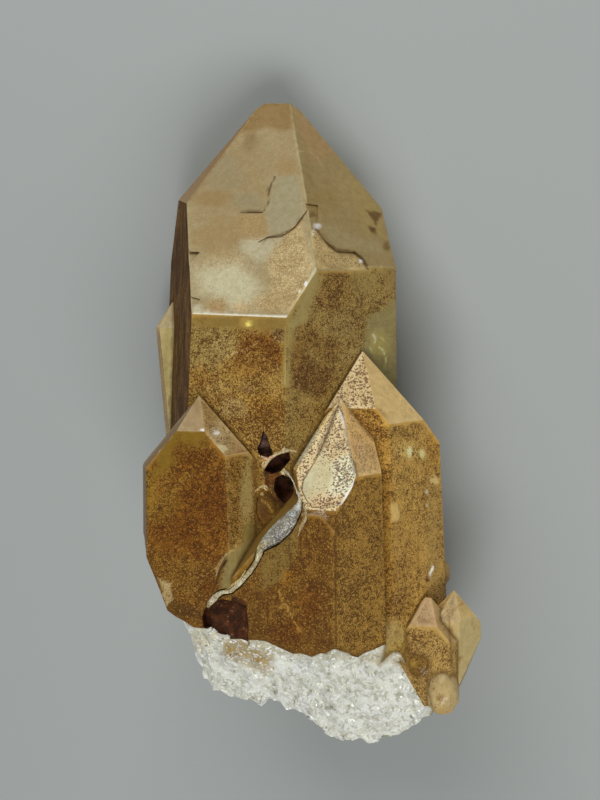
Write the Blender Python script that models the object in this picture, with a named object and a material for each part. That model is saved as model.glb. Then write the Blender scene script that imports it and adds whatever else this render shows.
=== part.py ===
"""Quartz point: crystals that grew side by side on one root, lying on the flat back of the largest one.

+Y runs along the crystals to their tips, +X to the right and +Z up from the surface they rest on.
Lengths are in millimetres, measured from the main crystal's tip, until a mesh is made.
"""
import math

import bmesh
import bpy
from mathutils import Matrix, Vector, noise

MM = 0.001

# How quartz grows: tip faces lie 38.2 degrees off the long axis, and the sides widen a little downward.
TIP_SLOPE = math.tan(math.radians(38.2))
SIDE_TAPER = math.tan(math.radians(1.7))
SIX_WAYS = (0, 60, 120, 180, 240, 300)

# How deep the main crystal reaches behind its tip: its back is the flat face that the object rests on.
BACK_DEPTH = 12.0
# Crystals are grown past the break and then broken off.
FOOT = -150.0
BLOCK = 400.0

# Each crystal has its tip point, the lean of its axis to the left in degrees, and its sides.
# A side is named by the way it looks round the axis: 0 is up, 90 is right, 180 is down.
# Its value is its distance from the tip point, square to the axis.
# Tip faces look the same six ways and meet at the tip point. Those that stand off it are named in "stands_off".
MAIN = {
    "tip": (0.0, 0.0, 0.0),
    "lean": -1.2,
    "sides": {0: 31.7, 60: 24.8, 120: 17.0, 180: BACK_DEPTH, 240: 30.0, 297.9: 21.1},
    "stands_off": {120: 1.0, 240: 4.7, 300: 5.5},
}
LOWER_LEFT = {
    "tip": (-6.6, -56.9, 34.7),
    "lean": 1.5,
    "sides": {0: 4.7, 60: 8.1, 120: 16.0, 180: 24.0, 240: 9.6, 300: 10.1},
    "stands_off": {},
}
RIGHT = {
    "tip": (20.3, -49.2, 16.7),
    "lean": 1.1,
    "sides": {0: 7.8, 60: 10.0, 120: 13.7, 180: 22.0, 240: 20.0, 300: 14.0},
    "stands_off": {},
}
FRONT = {
    "tip": (18.3, -57.8, 24.7),
    "lean": 0.0,
    "sides": {0: 14.2, 60: 9.9, 120: 5.4, 180: 16.0, 240: 14.0, 300: 9.5},
    "stands_off": {},
}
# The foot of the front crystal spreads to the left under the seam.
APRON = {
    "tip": (15.0, -75.4, 37.9),
    "lean": 0.0,
    "sides": {0: 1.8, 60: 6.5, 120: 9.5, 180: 20.0, 240: 22.0, 300: 18.4},
    "stands_off": {0: 0.2, 60: 2.8, 120: 3.0, 180: 9.0, 240: 6.0, 300: 0.9},
}
REAR_LEFT = {
    "tip": (-26.5, -39.5, -3.0),
    "lean": 7.0,
    "sides": {0: 5.2, 60: 10.0, 120: 9.0, 180: 6.0, 240: 5.4, 300: 5.0},
    "stands_off": {},
}
SMALL_FRONT = {
    "tip": (33.8, -96.3, 19.4),
    "lean": 0.0,
    "sides": {0: 3.6, 60: 6.7, 120: 7.0, 180: 12.0, 240: 9.0, 300: 6.0},
    "stands_off": {60: 1.0, 120: 1.0},
}
SMALL_RIGHT = {
    "tip": (38.9, -95.0, 17.0),
    "lean": 0.0,
    "sides": {0: 4.0, 60: 3.7, 120: 4.8, 180: 10.0, 240: 9.0, 300: 8.0},
    "stands_off": {},
}

# The two small crystals at the lower right narrow to their own foot: a point on each plane and its direction.
SMALL_FOOT = [
    ((43.9, -104.5, 14.0), (0.925, -0.38, -0.05)),
    ((30.8, -110.2, 22.0), (-0.85, -0.52, 0.0)),
    ((37.0, -116.5, 20.0), (0.0, -1.0, 0.0)),
]

# Rounded nubs at the lower right: centre and half sizes.
NUBS = {
    "nub": ((38.1, -113.9, 22.0), (3.3, 4.8, 3.4)),
    "amber_nub": ((33.4, -108.8, 22.2), (2.8, 3.0, 1.9)),
    "side_nub": ((33.6, -93.8, 9.5), (3.2, 3.4, 3.6)),
}

LUMP_CUTS = 2

# The break across the bottom is laid out square to a line turned from +Z to the right by this angle.
# "across" runs along it and "depth" runs up out of the surface that the object rests on.
BREAK_TURN = math.radians(18.0)
# Where the break leaves the crystal faces: across, height along Y, depth.
BREAK_EDGE = [
    (-34.0, -66.0, 24.0), (-27.1, -87.2, 33.5), (-25.2, -91.3, 34.2), (-23.1, -96.3, 35.1),
    (-19.8, -99.0, 36.2), (-14.7, -99.5, 37.4), (-12.2, -101.1, 38.3), (-7.7, -102.5, 39.8),
    (-4.5, -102.0, 40.8), (4.4, -103.4, 43.7), (9.9, -102.6, 44.0), (12.6, -105.0, 41.0),
    (18.1, -105.4, 35.5), (21.3, -106.4, 32.7), (25.0, -113.6, 29.8), (27.5, -116.6, 28.1),
    (36.0, -116.0, 24.0),
]
# Its lowest rim, a thin edge: across, height along Y.
BREAK_RIM = [
    (-34.0, -72.0), (-26.0, -93.0), (-21.9, -106.2), (-19.3, -114.9), (-17.0, -120.6), (-11.5, -123.2),
    (-4.2, -123.8), (2.2, -127.1), (7.4, -130.1), (9.5, -131.8), (11.6, -132.4), (13.6, -131.3),
    (15.9, -132.6), (18.2, -132.4), (22.6, -131.4), (26.1, -129.2), (29.4, -126.4), (36.0, -112.0),
]
RIM_DEPTH = 10.0
BACK_OF_BREAK_SLOPE = 0.85
BREAK_STEP = 1.7
BREAK_CELLS_ACROSS = 51
BREAK_CELLS_DEEP = 45
BREAK_START = (-40.0, -26.0)
LUMP_SIZE = 6.5
LUMP_HEIGHT = 1.5
GRAIN_SIZE = 2.3
GRAIN_HEIGHT = 0.9

# Shallow cuts in crystal faces: the crystal, the face, and an outline of X, Y and depth under the face.
# A tip face is named ("tip", way) and a side ("side", way).
CUTS = {
    "broken_face": (FRONT, ("tip", 0), [
        (18.0, -58.8, 0.3), (20.0, -61.6, 0.45), (22.0, -66.1, 0.6), (24.2, -70.6, 0.6), (23.9, -72.4, 0.6),
        (23.4, -73.9, 0.6), (22.5, -75.6, 0.55), (19.7, -76.2, 0.5), (17.2, -76.3, 0.5), (15.7, -75.1, 0.5),
        (14.4, -73.5, 0.5), (14.3, -71.8, 0.45), (16.2, -67.6, 0.4), (17.3, -62.4, 0.35)]),
    "right_growth_step": (MAIN, ("tip", 60), [
        (7.4, -20.6, 0.8), (10.4, -21.1, 0.8), (11.2, -23.6, 0.8), (11.4, -25.2, 0.8), (12.0, -26.3, 0.8),
        (14.0, -28.6, 0.8), (15.6, -30.0, 0.8), (18.1, -30.2, 0.8), (19.6, -31.7, 0.8), (20.9, -33.6, 0.8),
        (21.6, -36.0, 0.8), (12.4, -36.0, 0.8)]),
    "left_growth_step": (MAIN, ("tip", 0), [
        (-3.6, -22.6, 0.05), (0.3, -22.4, 0.35), (0.8, -28.2, 0.35), (2.4, -27.3, 0.4), (5.0, -27.1, 0.45),
        (6.4, -26.3, 0.45), (7.7, -25.0, 0.45), (9.3, -21.7, 0.45), (11.4, -26.5, 0.3), (9.0, -33.0, 0.05),
        (1.0, -32.5, 0.05), (-4.0, -28.0, 0.05)]),
    "left_notch": (MAIN, ("tip", 0), [(-14.5, -30.0, 1.1), (-10.5, -30.2, 0.7), (-12.4, -33.2, 1.1)]),
    "left_chip": (MAIN, ("tip", 0), [
        (-12.0, -38.0, 0.9), (-7.8, -39.0, 0.4), (-8.2, -40.3, 0.5), (-11.0, -41.6, 0.9)]),
    "maroon_hollow": (APRON, ("side", 0), [
        (-3.2, -95.8, 1.6), (-1.8, -94.7, 1.5), (0.2, -94.3, 1.3), (2.6, -94.5, 0.9), (4.7, -95.2, 0.4),
        (5.2, -98.6, 0.3), (5.1, -102.2, 0.3), (2.6, -101.9, 0.7), (0.2, -101.2, 1.1), (-2.1, -100.7, 1.5),
        (-3.7, -99.9, 1.8), (-4.0, -97.8, 1.9)]),
    "upper_hollow": (MAIN, ("side", 0), [
        (5.8, -63.2, 0.8), (6.6, -64.3, 1.6), (7.2, -66.1, 1.8), (7.7, -67.6, 1.8), (6.7, -68.9, 1.6),
        (5.3, -68.2, 1.4), (4.6, -66.8, 1.4), (5.3, -65.2, 1.2)]),
    "flake_hollow": (MAIN, ("side", 0), [
        (6.0, -70.7, 2.0), (6.9, -69.2, 2.2), (8.4, -67.7, 2.2), (10.7, -66.7, 0.9), (12.3, -67.0, 0.3),
        (11.1, -68.2, 1.0), (10.2, -69.7, 1.9), (9.3, -70.8, 2.2), (7.4, -71.4, 2.4)]),
    "dark_hollow": (MAIN, ("side", 0), [
        (8.3, -72.0, 2.4), (9.8, -71.3, 2.6), (11.2, -72.6, 2.4), (11.7, -74.4, 2.0), (11.2, -75.9, 2.0),
        (10.0, -76.8, 2.2), (8.9, -75.9, 2.8), (7.9, -74.2, 2.6)]),
    "amber_hollow": (MAIN, ("side", 0), [
        (4.6, -76.1, 0.9), (5.6, -74.4, 1.4), (7.2, -74.6, 2.2), (8.4, -76.3, 2.4), (8.8, -77.9, 2.0),
        (7.9, -79.4, 1.7), (6.4, -80.8, 1.0), (5.1, -80.6, 0.6), (4.4, -78.7, 0.6)]),
}
CUT_HEIGHT = 4.0

# The mica seam: centre X, Y, Z, then half its width across and half its thickness.
SEAM = [
    (-2.9, -95.9, 40.4, 0.35, 0.35), (-0.4, -93.2, 40.4, 0.5, 0.45), (1.6, -92.6, 40.1, 0.5, 0.45),
    (3.0, -91.4, 40.0, 0.55, 0.5), (5.2, -88.9, 39.9, 0.5, 0.45), (6.5, -87.0, 39.8, 0.5, 0.5),
    (7.5, -84.3, 39.8, 0.75, 0.7), (9.6, -82.3, 39.9, 1.5, 1.0), (12.1, -79.8, 39.9, 1.6, 1.15),
    (14.0, -77.2, 39.8, 1.15, 1.0), (14.8, -75.0, 39.2, 0.65, 0.6), (13.9, -73.0, 38.6, 0.45, 0.45),
    (12.6, -71.0, 37.9, 0.45, 0.4), (11.1, -69.6, 37.4, 0.3, 0.3),
]
SEAM_SIDES = 8
SEAM_GAP = 0.3

COLOURS = {
    "quartz_cluster": ((0.42, 0.29, 0.12), 0.25),
    "mica_seam": ((0.42, 0.42, 0.43), 0.45),
}


def clear_scene():
    for old in list(bpy.data.objects):
        bpy.data.objects.remove(old, do_unlink=True)


def add_object(name, bm):
    """Turn a bmesh in millimetres into an object in metres."""
    bmesh.ops.recalc_face_normals(bm, faces=bm.faces)
    bmesh.ops.scale(bm, vec=(MM, MM, MM), verts=bm.verts)
    mesh = bpy.data.meshes.new(name)
    bm.to_mesh(mesh)
    bm.free()
    made = bpy.data.objects.new(name, mesh)
    bpy.context.scene.collection.objects.link(made)
    return made


def shape_with(body, name, bm, operation, solver="EXACT"):
    """Join a shape to a body, or cut it out of it."""
    tool = add_object(name, bm)
    tool.hide_render = True
    tool.display_type = "WIRE"
    step = body.modifiers.new(name, "BOOLEAN")
    step.operation = operation
    step.solver = solver
    step.object = tool


def face_direction(turn, rise, lean):
    """Which way a face looks: turned round the axis from straight up, rising toward the tip."""
    angle = math.radians(turn)
    upright = Vector((math.sin(angle), rise, math.cos(angle)))
    return Matrix.Rotation(math.radians(lean), 3, "Z") @ upright


def side_plane(crystal, turn):
    """A side's direction, and how far it is from the tip point along that direction."""
    rise = 0.0 if turn == 180 else SIDE_TAPER
    return face_direction(turn, rise, crystal["lean"]), crystal["sides"][turn]


def tip_plane(crystal, turn):
    """The same for a tip face."""
    return face_direction(turn, TIP_SLOPE, crystal["lean"]), crystal["stands_off"].get(turn, 0.0)


def slice_off(bm, point, direction):
    """Cut away what lies beyond a plane, and close the cut with one flat face."""
    everything = bm.verts[:] + bm.edges[:] + bm.faces[:]
    cut = bmesh.ops.bisect_plane(
        bm, geom=everything, plane_co=point, plane_no=direction, clear_outer=True, dist=1e-5)
    rim = [part for part in cut["geom_cut"] if isinstance(part, bmesh.types.BMEdge)]
    if rim:
        bmesh.ops.contextual_create(bm, geom=rim)


def crystal_block(crystal):
    """A crystal as a long block cut by the planes of its sides and its tip faces."""
    bm = bmesh.new()
    bmesh.ops.create_cube(bm, size=BLOCK)
    slice_off(bm, Vector((0.0, FOOT, 0.0)), Vector((0.0, -1.0, 0.0)))
    planes = [side_plane(crystal, turn) for turn in crystal["sides"]]
    planes += [tip_plane(crystal, turn) for turn in SIX_WAYS]
    for direction, distance in planes:
        point = Vector(crystal["tip"]) + direction * (distance / direction.length_squared)
        slice_off(bm, point, direction)
    return bm


def small_crystal_block(crystal):
    """A small crystal that narrows to its own foot."""
    bm = crystal_block(crystal)
    for point, direction in SMALL_FOOT:
        slice_off(bm, Vector(point), Vector(direction))
    return bm


def lump(centre, half_sizes):
    """An uneven rounded lump."""
    bm = bmesh.new()
    bmesh.ops.create_icosphere(bm, subdivisions=LUMP_CUTS, radius=1.0)
    for vert in bm.verts:
        swell = 1.0 + 0.12 * noise.noise(vert.co * 1.3 + Vector(centre))
        vert.co = Vector(centre) + Vector([swell * c * h for c, h in zip(vert.co, half_sizes)])
    return bm


def along(points, across):
    """Read a row of points, sorted by their first value, at one place."""
    if across <= points[0][0]:
        return points[0][1:]
    for left, right in zip(points, points[1:]):
        if across <= right[0]:
            share = (across - left[0]) / (right[0] - left[0])
            return tuple(a + (b - a) * share for a, b in zip(left[1:], right[1:]))
    return points[-1][1:]


def break_height(across, depth):
    """How far up the crystals the break comes at one place."""
    edge_height, edge_depth = along(BREAK_EDGE, across)
    rim_height, = along(BREAK_RIM, across)
    if depth >= RIM_DEPTH:
        share = (depth - RIM_DEPTH) / (edge_depth - RIM_DEPTH)
        height = rim_height + (edge_height - rim_height) * share
    else:
        height = rim_height + BACK_OF_BREAK_SLOPE * (RIM_DEPTH - depth)
    place = Vector((across, depth, 0.0))
    height += LUMP_HEIGHT * noise.noise(place / LUMP_SIZE)
    height += GRAIN_HEIGHT * noise.noise(place / GRAIN_SIZE + Vector((7.0, 3.0, 1.0)))
    return height


def break_block():
    """Everything below the break, as one block with a rough top."""
    bm = bmesh.new()
    turned = Matrix.Rotation(BREAK_TURN, 3, "Y")
    grid = []
    for i in range(BREAK_CELLS_ACROSS + 1):
        across = BREAK_START[0] + i * BREAK_STEP
        depths = [BREAK_START[1] + k * BREAK_STEP for k in range(BREAK_CELLS_DEEP + 1)]
        points = [turned @ Vector((across, break_height(across, depth), depth)) for depth in depths]
        grid.append([bm.verts.new(point) for point in points])
    for line, following in zip(grid, grid[1:]):
        for k in range(BREAK_CELLS_DEEP):
            bm.faces.new((line[k], following[k], following[k + 1], line[k + 1]))
    wall = bmesh.ops.extrude_edge_only(bm, edges=[edge for edge in bm.edges if edge.is_boundary])
    for part in wall["geom"]:
        if isinstance(part, bmesh.types.BMVert):
            part.co.y = FOOT - 10.0
    bmesh.ops.contextual_create(bm, geom=[edge for edge in bm.edges if edge.is_boundary])
    bmesh.ops.triangulate(bm, faces=bm.faces)
    return bm


def cut_block(crystal, face, outline):
    """A block that cuts a shallow ledge into a crystal's face."""
    kind, turn = face
    direction, distance = tip_plane(crystal, turn) if kind == "tip" else side_plane(crystal, turn)
    tip = Vector(crystal["tip"])
    bm = bmesh.new()
    low = []
    high = []
    for x, y, depth in outline:
        face_z = tip.z + (distance - direction.x * (x - tip.x) - direction.y * (y - tip.y)) / direction.z
        low.append(bm.verts.new((x, y, face_z - depth)))
        high.append(bm.verts.new((x, y, face_z + CUT_HEIGHT)))
    bm.faces.new(low)
    bm.faces.new(high)
    for i in range(len(outline)):
        bm.faces.new((low[i - 1], low[i], high[i], high[i - 1]))
    bmesh.ops.triangulate(bm, faces=bm.faces)
    return bm


def seam_body(extra):
    """The mica seam as a tube of uneven width, made thicker by extra for the groove it lies in."""
    bm = bmesh.new()
    rings = []
    last = len(SEAM) - 1
    for i, (x, y, z, wide, thick) in enumerate(SEAM):
        before = Vector(SEAM[max(i - 1, 0)][:3])
        after = Vector(SEAM[min(i + 1, last)][:3])
        forward = (after - before).normalized()
        sideways = forward.cross(Vector((0.0, 0.0, 1.0))).normalized()
        upward = sideways.cross(forward)
        ring = []
        for k in range(SEAM_SIDES):
            angle = math.tau * k / SEAM_SIDES
            offset = sideways * math.cos(angle) * (wide + extra) + upward * math.sin(angle) * (thick + extra)
            ring.append(bm.verts.new(Vector((x, y, z)) + offset))
        rings.append(ring)
    for ring, following in zip(rings, rings[1:]):
        for k in range(SEAM_SIDES):
            after = (k + 1) % SEAM_SIDES
            bm.faces.new((ring[k], ring[after], following[after], following[k]))
    for ring, end, along_y in ((rings[0], SEAM[0], -1.0), (rings[-1], SEAM[-1], 1.0)):
        point = bm.verts.new(Vector(end[:3]) + Vector((0.0, along_y * (end[3] + extra), 0.0)))
        for k in range(SEAM_SIDES):
            bm.faces.new((ring[k], ring[(k + 1) % SEAM_SIDES], point))
    return bm


def plain_material(name):
    colour, roughness = COLOURS[name]
    material = bpy.data.materials.new(name)
    material.use_nodes = True
    shader = material.node_tree.nodes["Principled BSDF"]
    shader.inputs["Base Color"].default_value = (*colour, 1.0)
    shader.inputs["Roughness"].default_value = roughness
    shader.inputs["Metallic"].default_value = 0.0
    return material


def make_cluster():
    cluster = add_object("quartz_cluster", crystal_block(MAIN))
    large = {"lower_left": LOWER_LEFT, "right": RIGHT, "front": FRONT, "apron": APRON, "rear_left": REAR_LEFT}
    for name, crystal in large.items():
        shape_with(cluster, name, crystal_block(crystal), "UNION")
    shape_with(cluster, "break_below", break_block(), "DIFFERENCE")
    for name, crystal in {"small_front": SMALL_FRONT, "small_right": SMALL_RIGHT}.items():
        shape_with(cluster, name, small_crystal_block(crystal), "UNION")
    # The exact solver loses the whole cluster at the nubs.
    for name, (centre, half_sizes) in NUBS.items():
        shape_with(cluster, name, lump(centre, half_sizes), "UNION", "MANIFOLD")
    for name, (crystal, face, outline) in CUTS.items():
        shape_with(cluster, name, cut_block(crystal, face, outline), "DIFFERENCE")
    shape_with(cluster, "seam_groove", seam_body(SEAM_GAP), "DIFFERENCE")
    cluster.data.materials.append(plain_material("quartz_cluster"))
    return cluster


def make_seam():
    seam = add_object("mica_seam", seam_body(0.0))
    seam.data.materials.append(plain_material("mica_seam"))
    return seam


def stand_at_origin(cluster):
    """Move everything so that the cluster's box stands on the origin."""
    bpy.context.view_layer.update()
    shaped = cluster.evaluated_get(bpy.context.evaluated_depsgraph_get())
    corners = [Vector(corner) for corner in shaped.bound_box]
    low = Vector([min(corner[axis] for corner in corners) for axis in range(3)])
    high = Vector([max(corner[axis] for corner in corners) for axis in range(3)])
    middle = (low + high) / 2
    for thing in bpy.data.objects:
        thing.location -= Vector((middle.x, middle.y, low.z))


def main():
    clear_scene()
    cluster = make_cluster()
    make_seam()
    stand_at_origin(cluster)


main()
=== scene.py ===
import math

import bmesh
import bpy
import numpy as np
from mathutils import Matrix, Vector, noise


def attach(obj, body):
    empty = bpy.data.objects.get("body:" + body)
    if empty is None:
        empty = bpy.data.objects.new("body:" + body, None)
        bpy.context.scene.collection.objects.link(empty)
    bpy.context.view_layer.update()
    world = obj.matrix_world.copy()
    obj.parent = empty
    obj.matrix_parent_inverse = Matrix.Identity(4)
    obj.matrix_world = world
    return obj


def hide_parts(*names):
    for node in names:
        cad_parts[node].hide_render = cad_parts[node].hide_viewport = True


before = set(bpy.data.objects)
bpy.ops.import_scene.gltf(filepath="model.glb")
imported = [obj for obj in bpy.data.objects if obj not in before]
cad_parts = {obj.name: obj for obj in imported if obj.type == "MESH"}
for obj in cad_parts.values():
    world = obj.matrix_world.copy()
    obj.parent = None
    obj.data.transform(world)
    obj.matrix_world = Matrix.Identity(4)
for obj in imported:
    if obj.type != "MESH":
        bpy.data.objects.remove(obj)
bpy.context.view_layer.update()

# Shapes are worked out in millimetres from the main crystal's tip, and moved to the frame at the end.
MM = 0.001
TIP = Vector((-5.7905, 66.3392, 12.0))

# The photograph's camera, measured from the same tip.
CAMERA_PLACE = Vector((97.26, -26.90, 292.77))
CAMERA_BACK = Vector((0.30713, 0.11072, 0.94520))
CAMERA_RIGHT = Vector((0.95107, -0.00041, -0.30899))
CAMERA_UP = CAMERA_BACK.cross(CAMERA_RIGHT)
CAMERA_LENS = 66.65
SENSOR = 36.0
PHOTO_SIZE = (600, 800)
FOCUS = CAMERA_LENS / SENSOR * max(PHOTO_SIZE)

# The crystals as they are in the frame: tip point, lean, how far each side stands from the tip point,
# and how far those tip faces stand that miss it.
TIP_SLOPE = math.tan(math.radians(38.2))
SIDE_TAPER = math.tan(math.radians(1.7))
SIX_WAYS = (0, 60, 120, 180, 240, 300)
CRYSTALS = {
    "main": ((0.0, 0.0, 0.0), -1.2, {0: 31.7, 60: 24.8, 120: 17.0, 180: 12.0, 240: 30.0, 297.9: 21.1},
             {120: 1.0, 240: 4.7, 300: 5.5}),
    "lower_left": ((-6.6, -56.9, 34.7), 1.5,
                   {0: 4.7, 60: 8.1, 120: 16.0, 180: 24.0, 240: 9.6, 300: 10.1}, {}),
    "right": ((20.3, -49.2, 16.7), 1.1, {0: 7.8, 60: 10.0, 120: 13.7, 180: 22.0, 240: 20.0, 300: 14.0}, {}),
    "front": ((18.3, -57.8, 24.7), 0.0, {0: 14.2, 60: 9.9, 120: 5.4, 180: 16.0, 240: 14.0, 300: 9.5}, {}),
    "apron": ((15.0, -75.4, 37.9), 0.0, {0: 1.8, 60: 6.5, 120: 9.5, 180: 20.0, 240: 22.0, 300: 18.4},
              {0: 0.2, 60: 2.8, 120: 3.0, 180: 9.0, 240: 6.0, 300: 0.9}),
    "rear_left": ((-26.5, -39.5, -3.0), 7.0, {0: 5.2, 60: 10.0, 120: 9.0, 180: 6.0, 240: 5.4, 300: 5.0}, {}),
    "small_front": ((33.8, -96.3, 19.4), 0.0, {0: 3.6, 60: 6.7, 120: 7.0, 180: 12.0, 240: 9.0, 300: 6.0},
                    {60: 1.0, 120: 1.0}),
    "small_right": ((38.9, -95.0, 17.0), 0.0,
                    {0: 4.0, 60: 3.7, 120: 4.8, 180: 10.0, 240: 9.0, 300: 8.0}, {}),
}

# Rounded parts: centre and half sizes.
NUBS = {
    "nub": ((38.1, -113.9, 22.0), (3.3, 4.8, 3.4)),
    "amber_nub": ((33.4, -108.8, 22.2), (2.8, 3.0, 1.9)),
    "side_nub": ((33.6, -93.8, 9.5), (3.2, 3.4, 3.6)),
}
# Hollows in the crystal faces: the lowest and the highest level, and the outline seen from above.
HOLLOWS = {
    "upper": (30.0, 34.2, [
        (5.8, -63.2), (6.6, -64.3), (7.2, -66.1), (7.7, -67.6), (6.7, -68.9), (5.3, -68.2),
        (4.6, -66.8), (5.3, -65.2),
    ]),
    "flake": (30.0, 34.2, [
        (6.0, -70.7), (6.9, -69.2), (8.4, -67.7), (10.7, -66.7), (12.3, -67.0), (11.1, -68.2),
        (10.2, -69.7), (9.3, -70.8), (7.4, -71.4),
    ]),
    "dark": (30.0, 36.5, [
        (8.3, -72.0), (9.8, -71.3), (11.2, -72.6), (11.7, -74.4), (11.2, -75.9), (10.0, -76.8),
        (8.9, -75.9), (7.9, -74.2),
    ]),
    "amber": (30.0, 34.4, [
        (4.6, -76.1), (5.6, -74.4), (7.2, -74.6), (8.4, -76.3), (8.8, -77.9), (7.9, -79.4),
        (6.4, -80.8), (5.1, -80.6), (4.4, -78.7),
    ]),
    "maroon": (37.0, 41.0, [
        (-3.2, -95.8), (-1.8, -94.7), (0.2, -94.3), (2.6, -94.5), (4.7, -95.2), (5.2, -98.6),
        (5.1, -102.2), (2.6, -101.9), (0.2, -101.2), (-2.1, -100.7), (-3.7, -99.9), (-4.0, -97.8),
    ]),
}
# Which ways the flat feet of the two small crystals look, and how far right and how high they start.
FOOT_DIRECTIONS = [Vector((0.925, -0.38, -0.05)), Vector((-0.85, -0.52, 0.0)), Vector((0.0, -1.0, 0.0))]
FOOT_FROM = (28.0, 13.0)
# Parts whose edges get no pale worn line with painted highlight, and no painted crease shade.
UNLINED = {"wall", "hollow", "amber_hollow", "crust"}
# Crusts that stand on a crystal face: the face, points in the photograph's pixels, and half the width there.
CRUSTS = [
    (("main", "side", 0),
     [(262, 468), (266, 462), (271, 457.5), (278, 454), (286, 451), (292, 450.5), (297, 452)],
     (0.10, 0.24, 0.34, 0.26, 0.34, 0.26, 0.08)),
    (("main", "side", 0), [(261, 456), (265, 458.5), (269, 459), (272, 456)], (0.10, 0.30, 0.24, 0.08)),
    (("main", "side", 0),
     [(252, 497), (256, 490), (261, 487), (266, 486), (269, 490)], (0.08, 0.16, 0.22, 0.16, 0.08)),
    (("apron", "side", 0), [(303, 505), (306, 511), (305, 519), (301, 527), (298, 536)],
     (0.10, 0.26, 0.34, 0.26, 0.10)),
    (("apron", "side", 0), [(246, 570), (240, 579), (233, 585), (225, 590)], (0.08, 0.18, 0.20, 0.08)),
    (("lower_left", "side", 0), [(227, 553), (222, 560), (218, 568), (216, 576)], (0.08, 0.18, 0.16, 0.08)),
]
CRUST_SIDES = 8
# The bright broken upper face of the front crystal reaches from here to here, seen from above.
BROKEN_FROM = (14.0, -77.0)
BROKEN_TO = (24.6, -58.0)
SEAM_PATH = [
    (-2.9, -95.9, 40.4), (-0.4, -93.2, 40.4), (1.6, -92.6, 40.1), (3.0, -91.4, 40.0), (5.2, -88.9, 39.9),
    (6.5, -87.0, 39.8), (7.5, -84.3, 39.8), (9.6, -82.3, 39.9), (12.1, -79.8, 39.9), (14.0, -77.2, 39.8),
    (14.8, -75.0, 39.2), (13.9, -73.0, 38.6), (12.6, -71.0, 37.9), (11.1, -69.6, 37.4),
]

# Points closer than this are one point, and faces this near to flat are one face.
WELD = 0.002
FLAT_ANGLE = math.radians(0.4)
# A piece of the surface belongs to a crystal's side or tip if it lies on that plane, or if it looks the same
# way and isn't too deep under it.
ON_PLANE = 0.03
SAME_PLANE_WAY = 0.9999
SAME_WAY = 0.985
FOOT_WAY = 0.999
LEAST_SUNK = 0.05
MOST_SUNK = 1.5
NUB_GROWTH = 1.15
HOLLOW_MARGIN = 0.12
# What belongs to no crystal is a wall if it is near the seam, further along Y than the first of these, or
# further than the second and higher than the level. The rest is the root.
NEAR_SEAM = 3.0
WALL_ABOVE = -60.0
FRONT_WALL_ABOVE = -80.0
FRONT_WALL_LEVEL = 33.0

# How finely the faces are cut, and how the outer edges and the tip are blunted.
CELL = 1.1
FINE_CUTS = 2
FINE_MARGIN = 4.0
FINE_CENTRE = (-2.0, 0.0, 0.0)
FINE_REACH = 7.5
BEVEL = 0.12
BEVEL_FROM = math.radians(15.0)
WORN_CENTRE = Vector((-3.0, 0.0, 0.0))
WORN_REACH = 5.5
WEAR_ROUNDS = 14

# The broken root: the sizes of its slanted facets, its chips and its grains, and how deep each goes.
ROOT_CUTS = 4
FADE_WIDTH = 1.6
FACET_SIZE = (2.6, 4.2, 3.4)
FACET_SLANT = 2.2
FACET_STEP = 0.9
CHIP_SIZE = (0.9, 1.5, 1.2)
GRAIN_SIZE = 0.5
MIDDLE_SINK = 0.65
FACET_DEPTH = 0.55
CHIP_DEPTH = 0.26
GRAIN_DEPTH = 0.12
DEEPEST_SINK = 1.5

# The nubs swell and dip: how high and how wide each swelling is.
NUB_CUTS = 2
NUB_SWELLINGS = ((0.22, 2.6), (0.08, 0.8))
NUB_SHRINK = 0.1
# How much a crust's width changes, and how close together those changes are.
CRUST_CHANGE = 0.9
CRUST_PITCH = 2.3
# The mica's flakes and grains, and how its upper end thins out from here along Y.
MICA_CUTS = 4
FLAKE_SIZE = (0.8, 0.8, 0.3)
FLAKE_HEIGHT = 0.2
MICA_GRAIN_SIZE = 0.3
MICA_GRAIN_HEIGHT = 0.08
MICA_SHRINK = 0.1
THIN_FROM = -78.5
THIN_OVER = 5.0
THIN_BY = 0.35

# Painted patches: how far past its half size a spot or a stroke reaches, how a spot fades, how uneven it is,
# and under which half size in pixels it needs finer cells.
SPOT_REACH = 1.3
SPOT_FADE = 0.6
STROKE_REACH = 1.4
UNEVENNESS = 0.4
FINE_SPOT = 5
# Sizes in millimetres of the slow and the quick unevenness, and a start for each.
WANDER = (4.0, 5.0)
NERVOUS = (0.9, 2.0)
# A face that looks further away from the photograph's camera than this isn't painted.
LEAST_FACING = -0.2
FAR = 10.0
BRIGHTEST = 0.95

# Clear quartz, and the honey colour that it takes on with depth, for each metre.
QUARTZ_IOR = 1.544
CLEAR_COLOUR = (1.0, 0.95, 0.84, 1.0)
HONEY = (0.88, 0.66, 0.30, 1.0)
HONEY_DENSITY = 70.0

FLOOR_HALF = 2.0
FLOOR_DROP = 0.0001
LIGHT_TARGET = Vector((0.0, 0.0, 0.025))
# Each light's direction, distance, size and power.
LIGHTS = {
    "key": ((-0.15, 0.80, 0.62), 0.6, (0.6, 0.35), 2.6),
    "fill": ((0.3, -0.55, 0.78), 0.9, (0.6, 0.45), 6.3),
}
SKY_COLOUR = (0.80, 0.85, 0.86, 1.0)
SKY_STRENGTH = 0.13
FLOOR_COLOUR = (158, 162, 160)


def light_value(shade):
    """One shade of a screen colour, from 0 to 255, as a light value."""
    return ((shade / 255 + 0.055) / 1.055) ** 2.4 if shade > 10 else shade / 255 / 12.92


def srgb(red, green, blue):
    """A colour as seen on a screen, from 0 to 255, as light values."""
    return tuple(light_value(shade) for shade in (red, green, blue))


class Look:
    """How one face of a crystal looks: its colour as the photograph shows it, and how much the face's
    own colour is brighter than that under this light."""

    def __init__(self, colour, lit=2.0, specks=0.5, satin=0.0, rust=0.3, cloud=0.85, spots=0.0):
        self.colour = tuple(lit * value for value in srgb(*colour))
        self.lit = lit
        self.specks = specks
        self.satin = satin
        self.rust = rust
        self.cloud = cloud
        self.spots = spots


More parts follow.
